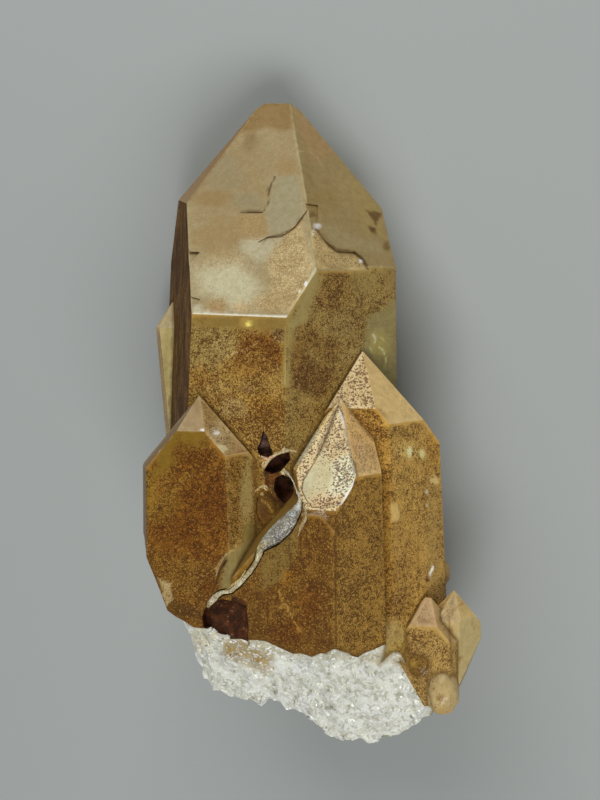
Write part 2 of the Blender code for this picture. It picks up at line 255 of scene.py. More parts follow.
SIDE_LOOK = Look((164, 132, 72), specks=0.5)
TIP_LOOK = Look((172, 146, 98), 1.8, specks=0.3, satin=0.6, rust=0.1, cloud=0.9)
LOOKS = {
    "root": Look((204, 205, 193), 1.45, specks=0.0, satin=0.3, rust=0.0),
    "nub": Look((184, 162, 116), 1.32, specks=0.12, satin=0.4, rust=0.05, cloud=0.8, spots=0.45),
    "side_nub": Look((150, 124, 74), 2.0, specks=0.2, satin=0.4, rust=0.1),
    "amber_nub": Look((140, 110, 50), 1.5, specks=0.7, satin=0.1, rust=0.2, cloud=0.8),
    "foot": Look((150, 122, 66), 1.8, specks=0.4, rust=0.2),
    "crust": Look((214, 200, 160), 1.05, specks=0.6, satin=0.6, rust=0.0, cloud=1.0),
    "amber_hollow": Look((146, 110, 40), 1.25, specks=0.5, satin=0.2, rust=0.4, cloud=0.85),
    "hollow": Look((74, 40, 18), 1.3, specks=0.3, satin=0.4, rust=0.3, cloud=1.0),
    "broken": Look((208, 190, 148), 1.44, specks=0.1, satin=0.8, rust=0.0, cloud=0.97, spots=0.75),
    "wall": Look((114, 90, 42), 1.42, specks=0.4, satin=0.5, rust=0.3, cloud=1.0),
    ("main", "tip", 0): Look((172, 156, 116), 1.0, specks=0.38, satin=1.0, rust=0.1, cloud=0.97),
    ("main", "tip", 60): Look((140, 121, 80), 1.54, specks=0.1, satin=0.8, rust=0.03, cloud=0.9),
    ("main", "tip", 300): Look((140, 108, 62), 1.3, specks=0.2, satin=0.7, rust=0.2, cloud=0.9),
    ("main", "side", 0): Look((170, 138, 72), 1.25, specks=0.75, rust=0.4),
    ("main", "side", 60): Look((154, 130, 74), 1.54, specks=0.6, rust=0.25),
    ("rear_left", "side", 0): Look((160, 148, 106), 2.4, specks=0.12, rust=0.0, cloud=0.7),
    ("rear_left", "tip", 0): Look((160, 148, 114), 1.66, specks=0.3, satin=0.6, rust=0.0, cloud=0.85),
    ("lower_left", "tip", 0): Look((168, 142, 100), 1.07, specks=0.1, satin=0.7, rust=0.05, cloud=0.9),
    ("lower_left", "tip", 60): Look((172, 144, 98), 1.46, specks=0.5, satin=0.5, rust=0.2, spots=0.5),
    ("lower_left", "tip", 300): Look((128, 99, 54), 1.1, specks=0.15, satin=0.9, rust=0.1),
    ("lower_left", "side", 0): Look((148, 106, 38), 1.12, specks=0.85, rust=0.4),
    ("lower_left", "side", 60): Look((150, 122, 68), 1.66, specks=0.55, rust=0.1),
    ("lower_left", "side", 300): Look((96, 70, 34), 1.6, specks=0.3, satin=0.6, rust=0.3),
    ("right", "tip", 300): Look((190, 166, 124), 0.92, specks=0.1, satin=0.7, rust=0.05, cloud=0.95,
                                spots=1.0),
    ("right", "tip", 0): Look((182, 156, 106), 1.9, specks=0.3, satin=0.8, rust=0.05, cloud=0.92),
    ("right", "tip", 60): Look((182, 156, 106), 1.9, specks=0.2, satin=0.8, rust=0.05, cloud=0.9),
    ("right", "side", 0): Look((152, 118, 56), 1.84, specks=0.55, rust=0.15),
    ("right", "side", 60): Look((158, 126, 66), 2.1, specks=0.5, rust=0.2),
    ("front", "tip", 0): Look((208, 188, 144), 1.4, specks=0.1, satin=0.8, rust=0.0, cloud=0.95, spots=0.95),
    ("front", "tip", 300): Look((200, 182, 134), 2.7, specks=0.2, satin=0.7, rust=0.0, spots=0.85),
    ("front", "tip", 60): Look((184, 152, 100), 2.1, specks=0.4, satin=0.6, rust=0.1, spots=0.5),
    ("front", "side", 0): Look((150, 110, 40), 0.98, specks=0.85, rust=0.35),
    ("front", "side", 60): Look((158, 122, 54), 1.62, specks=0.75, rust=0.3),
    ("front", "side", 300): Look((140, 112, 60), specks=0.5, rust=0.4),
    ("apron", "side", 0): Look((150, 110, 40), 0.98, specks=0.85, rust=0.35),
    ("apron", "side", 60): Look((158, 122, 54), 1.55, specks=0.75, rust=0.3),
    ("apron", "side", 300): Look((112, 90, 38), 1.4, specks=0.4, rust=0.2),
    ("apron", "tip", 300): Look((126, 100, 46), 1.3, specks=0.35, satin=0.3, rust=0.25),
    ("apron", "tip", 0): Look((150, 110, 48), 1.1, specks=0.7, rust=0.3),
    ("apron", "tip", 60): Look((158, 122, 60), 1.5, specks=0.6, rust=0.3),
    ("small_front", "tip", 0): Look((176, 146, 100), 1.56, specks=0.5, satin=0.7, rust=0.1, spots=0.3),
    ("small_front", "tip", 60): Look((166, 138, 90), 1.56, specks=0.5, satin=0.7, rust=0.1, spots=0.3),
    ("small_front", "side", 0): Look((176, 146, 86), 1.35, specks=0.6, rust=0.05),
    ("small_front", "side", 60): Look((160, 132, 78), 1.5, specks=0.4, rust=0.1),
    ("small_right", "tip", 0): Look((176, 152, 104), 1.5, specks=0.35, satin=0.6, rust=0.05, spots=0.3),
    ("small_right", "tip", 60): Look((166, 144, 96), 2.1, specks=0.3, satin=0.6, rust=0.1),
    ("small_right", "side", 0): Look((168, 150, 106), 1.58, specks=0.15, satin=0.3, rust=0.0),
    ("small_right", "side", 60): Look((166, 149, 105), 1.65, specks=0.1, satin=0.3, rust=0.0),
}


def distance_to_lines(points, lines):
    """How far each point is from the nearest of the straight lines."""
    nearest = np.full(len(points), np.inf)
    for start, end in lines:
        start = np.array(start, dtype=float)
        along = np.array(end) - start
        length = along.dot(along)
        if length > 1e-9:
            share = np.clip((points - start).dot(along) / length, 0.0, 1.0)
            gap = np.linalg.norm(points - start - share[:, None] * along, axis=1)
            nearest = np.minimum(nearest, gap)
    return nearest


def spot(x, y, across, down, lean=0.0):
    """A soft ellipse in the photograph's pixels."""
    turn = math.radians(lean)
    small = min(across, down) < FINE_SPOT

    def share(places, wander, nervous):
        off_x, off_y = (places - np.array((x, y))).T
        along = (off_x * math.cos(turn) + off_y * math.sin(turn)) / across
        square = (off_y * math.cos(turn) - off_x * math.sin(turn)) / down
        uneven_edge = UNEVENNESS * (nervous if small else wander)
        return np.clip((SPOT_REACH - np.hypot(along, square) - uneven_edge) / SPOT_FADE, 0.0, 1.0)
    share.fine = small
    return share


def stroke(width, *points):
    """A line of some width in pixels."""
    def share(places, wander, nervous):
        gap = distance_to_lines(places, list(zip(points, points[1:])))
        return np.clip(STROKE_REACH - gap / width - UNEVENNESS * nervous, 0.0, 1.0)
    share.fine = True
    return share


def depth_inside(places, points):
    """How far each place is inside an outline, less than 0 outside it."""
    lines = list(zip(points, points[1:] + points[:1]))
    gap = distance_to_lines(places, lines)
    x, y = places.T
    within = np.zeros(len(places), dtype=bool)
    for (ax, ay), (bx, by) in lines:
        if ay != by:
            within ^= ((ay > y) != (by > y)) & (x < (bx - ax) * (y - ay) / (by - ay) + ax)
    return np.where(within, gap, -gap)


def area(*points, soft=3.0, ragged=3.0, fine=False):
    """The inside of an outline in pixels, with an uneven edge."""
    def share(places, wander, nervous):
        inward = depth_inside(places, points)
        return np.clip(0.5 + (inward - ragged * (nervous if fine else wander)) / (2.0 * soft), 0.0, 1.0)
    share.fine = fine
    return share


WHITE = {"colour": (246, 243, 226), "specks": 0.0, "spots": 0.0, "rust": 0.0, "cloud": 1.0}
GLINT = {"colour": (255, 255, 250), "specks": 0.0, "spots": 0.0, "rust": 0.0, "cloud": 1.0}
CLEAR = {"specks": 0.05, "rust": 0.0}
DARK = {"colour": (74, 46, 18), "specks": 0.0, "rust": 0.0, "cloud": 1.0}
RUSTY = {"rust": 1.0, "specks": 0.82}


def tone(red, green, blue, **more):
    """A painted colour, and other qualities with it."""
    return {"colour": (red, green, blue), **more}


# What the photograph shows on each face: a shape, the qualities it changes, and how far.
PAINT = {
    ("main", "tip", 0): [
        (spot(228, 180, 44, 40), tone(160, 142, 100), 0.6),
        (spot(222, 172, 18, 20), tone(156, 146, 114), 0.7),
        (area((238, 134), (262, 100), (292, 100), (294, 130), (264, 128)),
         tone(146, 116, 68, rust=0.15), 0.9),
        (stroke(2.5, (258, 104), (225, 150), (205, 178), (190, 197)), tone(150, 108, 54), 0.5),
        (spot(250, 142, 7, 9, 20), tone(122, 96, 54), 0.6),
        (spot(285, 166, 10, 9), tone(170, 140, 92, specks=0.7), 0.6),
        (spot(214, 198, 16, 7), tone(150, 120, 76, specks=0.7), 0.7),
        (spot(246, 201, 14, 8), tone(150, 140, 108, specks=0.05), 0.6),
        (area((276, 177), (296, 175), (302, 196), (303, 214), (294, 227), (284, 232), (268, 236), (264, 212),
              (271, 198), soft=1.2, ragged=0.8, fine=True), tone(166, 156, 122, specks=0.04, rust=0.0), 0.9),
        (spot(219, 237, 26, 16), tone(164, 140, 94, specks=0.8), 0.7),
        (area((240, 214), (264, 214), (268, 234), (256, 240), (238, 234)),
         tone(184, 156, 104, specks=0.9), 0.8),
        (area((238, 240), (262, 238), (284, 236), (276, 256), (256, 266), (240, 256)),
         tone(200, 194, 162, specks=0.15), 0.75),
        (area((280, 242), (302, 222), (313, 264), (300, 302), (272, 292), (268, 262)),
         tone(226, 204, 152, specks=0.8), 0.85),
        (spot(226, 262, 26, 12), tone(196, 176, 132, specks=0.6), 0.7),
        (area((196, 266), (240, 262), (262, 286), (254, 308), (226, 306), (198, 290), soft=8.0),
         tone(210, 204, 168, specks=0.15), 0.85),
        (spot(276, 303, 24, 9), tone(214, 190, 136, specks=0.9), 0.8),
        (spot(216, 306, 9, 6), tone(190, 152, 92, specks=0.9), 0.7),
        (spot(242, 307, 7, 5), tone(220, 194, 146, specks=0.5), 0.8),
        (spot(197, 309, 6, 5), tone(214, 208, 180, specks=0.0), 0.8),
        # Dark lines along the growth steps on this face: painted shadow under the steps' edges.
        (stroke(0.8, (275, 177), (271, 185), (269, 192), (268, 202), (265, 210), (260, 212.5), (240, 212.5)),
         DARK, 0.85),
        (stroke(0.9, (303, 216), (298, 223), (294, 228), (286, 232), (280, 235), (268, 237)), DARK, 0.8),
        (stroke(0.7, (268, 237), (263, 243)), DARK, 0.5),
        # Pale lines along the ridge and the edges below this face: partly worn edge, partly painted
        # highlight.
        (stroke(0.8, (301, 196), (303, 212), (309, 238), (315, 264)), tone(190, 180, 144), 0.45),
        (stroke(0.9, (290, 119), (297, 160), (301, 196)), tone(172, 156, 114), 0.4),
        (stroke(1.4, (194, 314), (290, 317)), WHITE, 0.85),
        (stroke(1.2, (290, 317), (316, 268)), tone(222, 216, 182, specks=0.2), 0.8),
        (spot(306, 284, 1.6, 2.4), GLINT, 1.0),
        (spot(299, 291, 1.2, 1.6), GLINT, 0.8),
        (spot(242, 303, 1.0, 2.0), tone(130, 124, 110), 0.5),
    ],
    ("main", "tip", 60): [
        (area((290, 102), (312, 115), (336, 152), (312, 164), (297, 128)), tone(150, 122, 82), 0.7),
        (spot(309, 180, 5, 26, -4), tone(124, 106, 64), 0.5),
        (spot(325, 200, 16, 12), tone(134, 112, 64), 0.5),
        (spot(350, 190, 14, 20, -20), tone(150, 130, 88), 0.5),
        (area((352, 176), (378, 206), (384, 236), (366, 236), (356, 206)), tone(150, 130, 78), 0.6),
        (stroke(0.7, (297, 151), (308, 151), (318, 158), (323, 170)), tone(166, 148, 108), 0.6),
        (area((365, 210), (382, 213), (379, 220), (376, 226), (371, 217), soft=1.0, ragged=1.2, fine=True),
         tone(86, 62, 24), 0.9),
        (area((368, 226), (376, 228), (375, 236), (371, 232), soft=1.0, ragged=1.0, fine=True),
         tone(76, 52, 20), 0.9),
        (spot(386, 246, 3, 5), tone(92, 68, 28), 0.7),
        (area((322, 222), (352, 236), (378, 240), (380, 252), (350, 249), (333, 244)),
         tone(150, 136, 100), 0.6),
        (stroke(1.7, (316, 229), (322, 238), (329, 245), (337, 250), (352, 251), (361, 257), (367, 266)),
         tone(86, 66, 30), 0.9),
        (area((307, 232), (316, 231), (326, 245), (338, 254), (355, 255), (367, 269), (318, 268), soft=1.5),
         tone(194, 168, 116, specks=0.7), 0.9),
        (spot(311, 215, 5, 3), tone(100, 74, 30), 0.8),
        (spot(317, 226, 4, 2.6), WHITE, 0.8),
        (spot(313, 233, 2.4, 3), tone(210, 200, 168), 0.8),
        # Pale line along the ridge: worn edge and painted highlight.
        (stroke(1.2, (304, 212), (308, 228), (313, 244)), tone(186, 172, 130), 0.5),
        (spot(361, 261, 2.4, 1.6), WHITE, 0.9),
        # Pale line along the lower edge: worn edge and painted highlight.
        (stroke(0.8, (318, 268), (388, 266)), tone(186, 168, 120), 0.5),
    ],
    ("main", "side", 0): [
        (area((190, 322), (236, 326), (226, 360), (206, 380), (190, 374)),
         tone(158, 138, 84, specks=0.7, rust=0.1), 0.8),
        (spot(230, 350, 24, 10, -20), tone(162, 144, 92, specks=0.4, rust=0.1), 0.6),
        (area((246, 332), (268, 332), (280, 350), (288, 358), (284, 370), (262, 354), (250, 352), (232, 362),
              (238, 344)), tone(140, 92, 32, **RUSTY), 0.75),
        (spot(250, 365, 24, 12), tone(160, 116, 48, **RUSTY), 0.5),
        (spot(280, 335, 6, 7), tone(128, 108, 76, specks=0.8), 0.7),
        (spot(248, 390, 8, 6), tone(130, 108, 78, specks=0.6), 0.6),
        (stroke(0.8, (213, 345), (226, 335)), tone(190, 170, 116, specks=0.2), 0.6),
        (stroke(0.8, (224, 358), (246, 349), (262, 341)), tone(196, 172, 116, specks=0.2), 0.7),
        (spot(200, 376, 12, 10), tone(160, 118, 44, specks=0.7), 0.6),
        (spot(220, 390, 16, 8), tone(178, 150, 90, specks=0.6), 0.6),
        (spot(255, 402, 20, 10), tone(184, 146, 66, specks=0.6, rust=0.3), 0.7),
        (spot(272, 410, 20, 14), tone(156, 112, 44, specks=1.0, rust=0.6), 0.6),
        (spot(232, 408, 16, 10), tone(168, 150, 104, specks=0.5, rust=0.1), 0.6),
        (spot(210, 366, 7, 7), RUSTY, 0.5),
        (area((190, 316), (290, 318), (290, 327), (262, 332), (190, 326)), tone(126, 104, 54, **CLEAR), 0.9),
        # A small gold glint with a soft glow round it: painted highlight.
        (spot(247, 323, 8, 5), tone(180, 150, 78, specks=0.2), 0.5),
        (spot(248, 324, 1.8, 2.4), tone(255, 214, 116, specks=0.0), 1.0),
        (stroke(3.0, (289, 320), (286, 345), (284, 384)), tone(140, 124, 72, **CLEAR), 0.85),
        (stroke(1.0, (288, 335), (285, 384)), tone(188, 174, 120, specks=0.1), 0.5),
        (area((262, 430), (268, 439), (270, 447), (276, 456), (270, 462), (262, 458), (257, 452), (260, 442),
              soft=1.2, ragged=1.6, fine=True), {"stain": 0.9}, 0.9),
        (area((252, 468), (262, 466), (270, 488), (258, 494), (251, 486)),
         tone(128, 100, 40, specks=0.6, rust=0.2), 0.7),
        (area((266, 470), (282, 470), (284, 478), (272, 486), (265, 484), soft=1.0, ragged=1.4, fine=True),
         tone(112, 66, 18, specks=0.8), 0.9),
        (area((262, 466), (268, 471), (269, 488), (265, 490), soft=1.0, ragged=1.2, fine=True),
         {"stain": 0.9}, 0.9),
        (area((270, 482), (276, 480), (282, 500), (288, 508), (278, 508), (272, 494), soft=1.0, ragged=1.4,
              fine=True), {"stain": 0.8}, 0.9),
        (area((262, 464), (270, 456), (284, 450), (296, 450), (296, 453), (284, 454), (272, 461), (264, 468),
              soft=0.7, ragged=0.6, fine=True), tone(226, 212, 168, specks=0.0, rust=0.0), 1.0),
        (spot(267, 458, 4, 2.4, 30), tone(224, 176, 146, specks=0.0), 1.0),
        (area((280, 470), (291, 474), (299, 500), (296, 506), (288, 490), soft=1.0, ragged=1.0, fine=True),
         tone(214, 206, 168, specks=0.0, rust=0.0), 0.9),
        (area((251, 494), (259, 486), (272, 490), (283, 508), (280, 520), (268, 532), (256, 526),
              soft=1.5, ragged=2.0, fine=True),
         tone(150, 110, 34, specks=0.7), 0.8),
        (area((290, 430), (304, 419), (318, 418), (313, 440), (302, 462), (289, 458), soft=2.0, ragged=2.0),
         tone(184, 158, 114, specks=0.3, rust=0.0, spots=0.7), 0.8),
        # Bright golden flecks in the amber cavity: painted glints.
        (stroke(1.2, (257, 490), (264, 486), (267, 492)), tone(236, 206, 140, specks=0.0), 0.9),
        (spot(262, 506, 2.0, 1.6), tone(214, 190, 110, specks=0.0), 0.8),
        (spot(272, 516, 2.6, 1.8, 30), tone(196, 166, 84, specks=0.0), 0.7),
        (spot(252, 520, 8, 20), tone(138, 116, 58, specks=0.35), 0.7),
        (spot(262, 545, 5, 8, 30), tone(128, 104, 40, specks=0.4), 0.7),
    ],
    ("main", "side", 60): [
        (area((318, 270), (352, 270), (352, 298), (330, 312), (310, 302)),
         tone(150, 116, 56, rust=0.4, specks=0.8), 0.6),
        (area((290, 320), (316, 270), (324, 276), (304, 326), (294, 340)), tone(144, 130, 84, **CLEAR), 0.8),
        (spot(365, 283, 14, 10), tone(142, 124, 74, specks=0.3, rust=0.0), 0.7),
        (stroke(0.9, (355, 273), (355, 280)), DARK, 0.8),
        (stroke(1.1, (357, 286), (361, 298)), DARK, 0.7),
        (stroke(0.6, (332, 301), (384, 303)), tone(104, 80, 38), 0.5),
        (stroke(0.6, (328, 306), (380, 308)), tone(104, 80, 38), 0.5),
        (stroke(0.6, (330, 311), (384, 312)), tone(104, 80, 38), 0.5),
        (stroke(0.6, (334, 316), (380, 318)), tone(104, 80, 38), 0.5),
        (stroke(1.0, (360, 317), (381, 317)), DARK, 0.6),
        (spot(296, 358, 10, 16), tone(128, 90, 34, specks=1.0, rust=0.5), 0.6),
        (spot(304, 335, 12, 10), tone(140, 106, 46, specks=0.9, rust=0.4), 0.6),
        (spot(330, 348, 14, 12), tone(136, 104, 46, specks=0.9, rust=0.4), 0.6),
        (spot(314, 380, 20, 16), tone(116, 84, 36, specks=1.0, rust=0.4), 0.7),
        (spot(344, 330, 16, 14), tone(150, 128, 76, specks=0.6), 0.6),
        (spot(352, 360, 12, 12), tone(150, 130, 80, specks=0.5, rust=0.0), 0.6),
        (area((368, 318), (396, 300), (398, 402), (372, 396), (362, 350)),
         tone(140, 132, 90, specks=0.1, rust=0.0, cloud=0.7), 0.8),
        (spot(390, 278, 6, 16), tone(130, 110, 66, specks=0.1, rust=0.0), 0.7),
        (spot(392, 262, 4, 7), tone(100, 76, 34), 0.7),
        # Yellow-white sparkles inside the clear part, on a yellowish glow: painted glints.
        (spot(379, 346, 9, 14, -10), tone(172, 158, 88, specks=0.1), 0.6),
        (stroke(0.9, (373, 335), (376, 339), (375, 342)), tone(250, 238, 190, specks=0.0), 0.8),
        (stroke(0.8, (379, 347), (383, 350), (384, 354)), tone(250, 236, 160, specks=0.0), 0.8),
        (stroke(0.7, (370, 348), (373, 353)), tone(240, 226, 140, specks=0.0), 0.7),
        (stroke(0.7, (386, 358), (385, 366)), tone(236, 220, 140, specks=0.0), 0.7),
        (stroke(0.6, (381, 338), (385, 341)), tone(230, 220, 150, specks=0.0), 0.7),
        (stroke(3.0, (291, 320), (289, 345), (287, 384)), tone(146, 134, 84, **CLEAR), 0.6),
        (stroke(1.0, (336, 403), (331, 418)), DARK, 0.7),
    ],
    ("rear_left", "side", 0): [
        (spot(164, 322, 8, 5), tone(150, 138, 96), 0.6),
        (spot(162, 402, 3, 26, -10), tone(190, 178, 80), 0.8),
        (spot(168, 420, 3, 10), tone(200, 190, 120), 0.6),
        (spot(166, 360, 4, 30), tone(140, 124, 76), 0.5),
    ],
    ("lower_left", "tip", 0): [
        (spot(198, 405, 4, 8), tone(150, 126, 84), 0.5),
        (stroke(0.8, (203, 398), (206, 428)), tone(190, 172, 130), 0.5),
        (stroke(0.8, (178, 427), (205, 429)), tone(178, 160, 116), 0.4),
        (spot(205, 430, 4, 1.8), GLINT, 1.0),
    ],
    ("lower_left", "tip", 60): [
        (spot(220, 436, 12, 14), tone(196, 176, 134, spots=0.7), 0.6),
        (spot(240, 444, 9, 7), tone(178, 148, 108, specks=0.2, spots=0.1), 0.7),
        (spot(213, 412, 8, 12), tone(156, 128, 78, specks=0.7), 0.6),
        (spot(217, 433, 3, 2), GLINT, 0.9),
        (spot(207, 443, 1.6, 3), WHITE, 0.9),
        (spot(219, 449, 8, 4), tone(206, 194, 156, specks=0.1, spots=0.2), 0.9),
        (stroke(1.0, (226, 422), (240, 434), (252, 449)), tone(196, 170, 134), 0.6),
        (stroke(0.9, (224, 455), (250, 450)), tone(130, 84, 36), 0.6),
    ],
    ("lower_left", "tip", 300): [
        (stroke(1.2, (199, 400), (172, 428), (144, 464)), tone(158, 134, 100), 0.5),
        (stroke(1.2, (146, 470), (176, 431)), tone(110, 84, 50), 0.5),
        (spot(161, 452, 2.6, 1.8, -30), WHITE, 0.9),
    ],
    ("lower_left", "side", 0): [
        (area((172, 428), (206, 430), (208, 446), (180, 462), (158, 478), (148, 474), (160, 448)),
         tone(140, 110, 36, specks=0.15, rust=0.0, cloud=0.7), 0.9),
        (spot(150, 490, 6, 22), tone(150, 120, 40, specks=0.5, rust=0.1), 0.7),
        (area((176, 462), (206, 446), (226, 470), (230, 530), (222, 566), (190, 560), (172, 520)),
         tone(134, 88, 22, **RUSTY), 0.8),
        (spot(212, 500, 12, 24), tone(112, 64, 12, **RUSTY), 0.8),
        (spot(186, 452, 12, 8), tone(134, 92, 26, **RUSTY), 0.6),
        (spot(166, 505, 12, 10), tone(140, 106, 36, specks=0.6, rust=0.2), 0.6),
        (stroke(4.0, (150, 512), (170, 496), (190, 474)), tone(166, 132, 52, specks=0.5, rust=0.1), 0.5),
        (spot(176, 538, 26, 18), tone(124, 78, 16, **RUSTY), 0.7),
        (spot(192, 580, 30, 20), tone(148, 112, 46, specks=0.9, rust=0.3), 0.7),
        (spot(208, 588, 10, 8), tone(110, 68, 20, **RUSTY), 0.9),
        (spot(190, 612, 26, 8, 20), tone(84, 62, 26, specks=0.9, rust=0.0), 0.8),
        (spot(160, 508, 2.6, 3.0), tone(60, 36, 14), 0.9),
        (stroke(1.2, (148, 474), (149, 520), (153, 565)), tone(150, 118, 50), 0.4),
        (area((158, 578), (171, 583), (174, 600), (166, 606), soft=1.2, ragged=1.5, fine=True),
         tone(190, 172, 130, specks=0.2), 0.8),
        (area((228, 505), (232, 530), (226, 560), (236, 560), (240, 500)),
         tone(150, 126, 72, specks=0.3), 0.5),
        (stroke(0.9, (240, 541), (233, 549), (226, 556)), tone(190, 166, 104, specks=0.0), 0.8),
        (area((226, 556), (254, 540), (250, 572), (236, 588), (222, 594), (217, 588), (222, 570)),
         tone(134, 122, 80, specks=0.1, rust=0.0), 0.9),
        # Dark line in the crevice beside the grey facet: painted shade.
        (stroke(1.8, (226, 560), (220, 570), (216, 584), (212, 592)), tone(48, 26, 10, specks=0.0), 0.95),
        (stroke(1.0, (224, 556), (219, 564), (217, 571)), tone(206, 190, 150, specks=0.0), 0.9),
    ],
    ("lower_left", "side", 60): [
        (spot(236, 466, 9, 14), tone(150, 112, 48, specks=0.7, rust=0.3), 0.7),
        (spot(247, 500, 6, 40), tone(148, 132, 86, specks=0.2, rust=0.0), 0.8),
        (spot(234, 500, 5, 50), tone(140, 104, 48, specks=0.8, rust=0.4), 0.5),
        (spot(250, 530, 8, 10), tone(112, 98, 52, specks=0.1), 0.8),
        (stroke(0.9, (240, 541), (233, 549), (226, 556)), tone(190, 166, 104, specks=0.0), 0.8),
        (area((226, 556), (258, 536), (252, 572), (236, 590), (222, 594)),
         tone(134, 122, 80, specks=0.1, rust=0.0), 0.9),
        (stroke(0.8, (226, 448), (230, 540)), tone(170, 132, 66), 0.4),
    ],
    ("right", "tip", 300): [
        (area((352, 372), (366, 360), (374, 404), (352, 404)), tone(210, 186, 144), 0.6),
        (spot(371, 398, 4, 3), tone(214, 170, 70, spots=0.1), 0.9),
        (spot(345, 398, 8, 8), tone(170, 128, 84, spots=0.8), 0.5),
        (stroke(1.0, (367, 358), (375, 406)), tone(206, 186, 140, spots=0.1), 0.5),
    ],
    ("right", "tip", 0): [
        (area((392, 424), (400, 408), (424, 416), (426, 424), (408, 426)),
         tone(164, 142, 98, specks=0.05), 0.6),
        (spot(384, 384, 10, 14), tone(176, 150, 104, specks=0.5), 0.6),
        (stroke(1.0, (372, 362), (398, 388), (424, 418)), tone(190, 168, 122), 0.5),
    ],
    "right": [
        (area((350, 408), (376, 407), (388, 423), (392, 442), (384, 450), (368, 436), (354, 420)),
         tone(164, 130, 64, **RUSTY), 0.8),
        (area((356, 416), (370, 432), (380, 446), (386, 462), (376, 460), (364, 440)),
         tone(160, 118, 48, specks=0.7), 0.7),
        (spot(400, 432, 14, 7), tone(132, 106, 52, specks=0.6), 0.7),
        (spot(408, 450, 12, 10), tone(184, 156, 92, specks=0.45), 0.6),
        (spot(409, 452, 3, 5), tone(206, 192, 144, specks=0.0), 0.7),
        (spot(422, 454, 2.4, 5), tone(200, 186, 136, specks=0.0), 0.7),
        (spot(434, 446, 8, 20), tone(156, 118, 52, specks=0.5), 0.7),
        (spot(384, 468, 14, 12), tone(174, 136, 70, spots=0.7), 0.7),
        (area((354, 474), (392, 466), (396, 520), (380, 540), (350, 540)),
         tone(152, 114, 50, specks=0.85, rust=0.3), 0.7),
        (spot(374, 500, 8, 7), tone(118, 78, 30, **RUSTY), 0.7),
        (spot(352, 526, 10, 10), tone(128, 84, 34, **RUSTY), 0.7),
        (spot(408, 500, 12, 30), tone(166, 134, 68, specks=0.6), 0.6),
        (area((391, 504), (398, 502), (402, 520), (391, 523), soft=1.2, ragged=1.2, fine=True),
         tone(172, 146, 92, specks=0.1), 0.9),
        (stroke(0.7, (391, 523), (402, 522), (398, 503)), tone(96, 70, 30), 0.7),
        (stroke(0.9, (426, 470), (425, 488), (426, 528)), tone(104, 78, 34), 0.7),
        (spot(427, 492, 1.6, 2), tone(240, 226, 180, specks=0.0), 0.8),
        (spot(427, 505, 1.6, 2), tone(230, 210, 160, specks=0.0), 0.7),
        (area((428, 480), (442, 478), (446, 600), (428, 600)),
         tone(140, 114, 62, specks=0.4, rust=0.0), 0.8),
        (spot(434, 480, 5, 4), tone(176, 156, 104, specks=0.1), 0.7),
        (spot(380, 570, 16, 30), tone(150, 112, 44, specks=0.8, rust=0.3), 0.6),
        (spot(405, 560, 14, 40), tone(150, 116, 56, specks=0.5, rust=0.2), 0.6),
        (stroke(0.8, (406, 540), (405, 600)), tone(110, 78, 32), 0.5),
        (stroke(0.8, (418, 530), (419, 590)), tone(110, 78, 32), 0.4),
        (spot(380, 640, 26, 22), tone(152, 134, 86, specks=0.25, rust=0.0, spots=0.3), 0.85),
        (spot(386, 608, 20, 12), tone(140, 106, 52, specks=0.8), 0.6),
        (spot(400, 655, 14, 12), tone(150, 124, 62, specks=0.4), 0.6),
        (spot(396, 632, 3, 2), DARK, 0.7),
        (stroke(1.3, (433, 567), (429, 577)), GLINT, 1.0),
        (spot(427, 580, 2.0, 1.8), tone(70, 34, 14), 0.8),
    ],
    ("front", "tip", 300): [
        (area((300, 428), (318, 420), (318, 446), (312, 464), (298, 464), (292, 446)),
         tone(208, 188, 142, specks=0.1, spots=0.9), 0.85),
        (spot(311, 427, 4, 3), GLINT, 0.9),
        (area((290, 462), (312, 464), (304, 480), (296, 494), (286, 486)),
         tone(140, 120, 70, specks=0.05), 0.85),
        (area((303, 458), (316, 446), (318, 470), (306, 484), (302, 496), (295, 492), soft=1.5, ragged=1.5),
         tone(200, 186, 150, specks=0.1, spots=0.4), 0.85),
    ],
    ("front", "tip", 60): [
        (spot(360, 458, 14, 18), tone(184, 150, 106, specks=0.4), 0.7),
        (spot(356, 446, 8, 7), tone(190, 140, 100, specks=0.3), 0.6),
        (spot(378, 460, 6, 18, -20), tone(170, 138, 92, specks=0.6, spots=0.4), 0.8),
        (stroke(0.8, (355, 473), (386, 468)), tone(196, 166, 120), 0.4),
    ],
    "broken": [
        (area((319, 438), (322, 455), (314, 466), (302, 480), (296, 496), (306, 506), (316, 498),
              (330, 488), (336, 470), (344, 450), (338, 440), soft=2.0, ragged=2.5),
         tone(182, 174, 138, spots=0.5), 0.85),
        (area((334, 464), (344, 454), (354, 458), (357, 478), (349, 492), (341, 506), (326, 500), (330, 486),
              soft=2.0, ragged=2.0), tone(232, 218, 184, spots=1.0), 0.9),
        (area((322, 430), (340, 420), (350, 444), (344, 456), (328, 462), (322, 450)),
         tone(196, 176, 134, spots=1.0), 0.85),
        (area((302, 506), (316, 496), (344, 496), (340, 508), (320, 510)),
         tone(200, 174, 132, spots=1.0), 0.9),
        (spot(308, 480, 6, 14, 20), tone(180, 176, 144, spots=0.15), 0.7),
        (stroke(1.6, (341, 412), (347, 430), (354, 458), (357, 476), (350, 492), (341, 507)), GLINT, 1.0),
        (stroke(1.0, (319, 437), (319, 453), (312, 466), (301, 481), (298, 494)),
         tone(214, 204, 174, spots=0.0), 0.8),
        (stroke(0.8, (320, 432), (328, 424), (336, 412)), tone(120, 72, 30), 0.8),
        (area((330, 404), (366, 356), (376, 406)), tone(190, 166, 122, spots=1.0), 0.8),
    ],
    ("front", "side", 0): [
        (area((312, 512), (324, 510), (327, 521), (313, 520), soft=1.0, ragged=1.5, fine=True),
         tone(240, 216, 196, spots=1.0, specks=0.0, rust=0.0), 1.0),
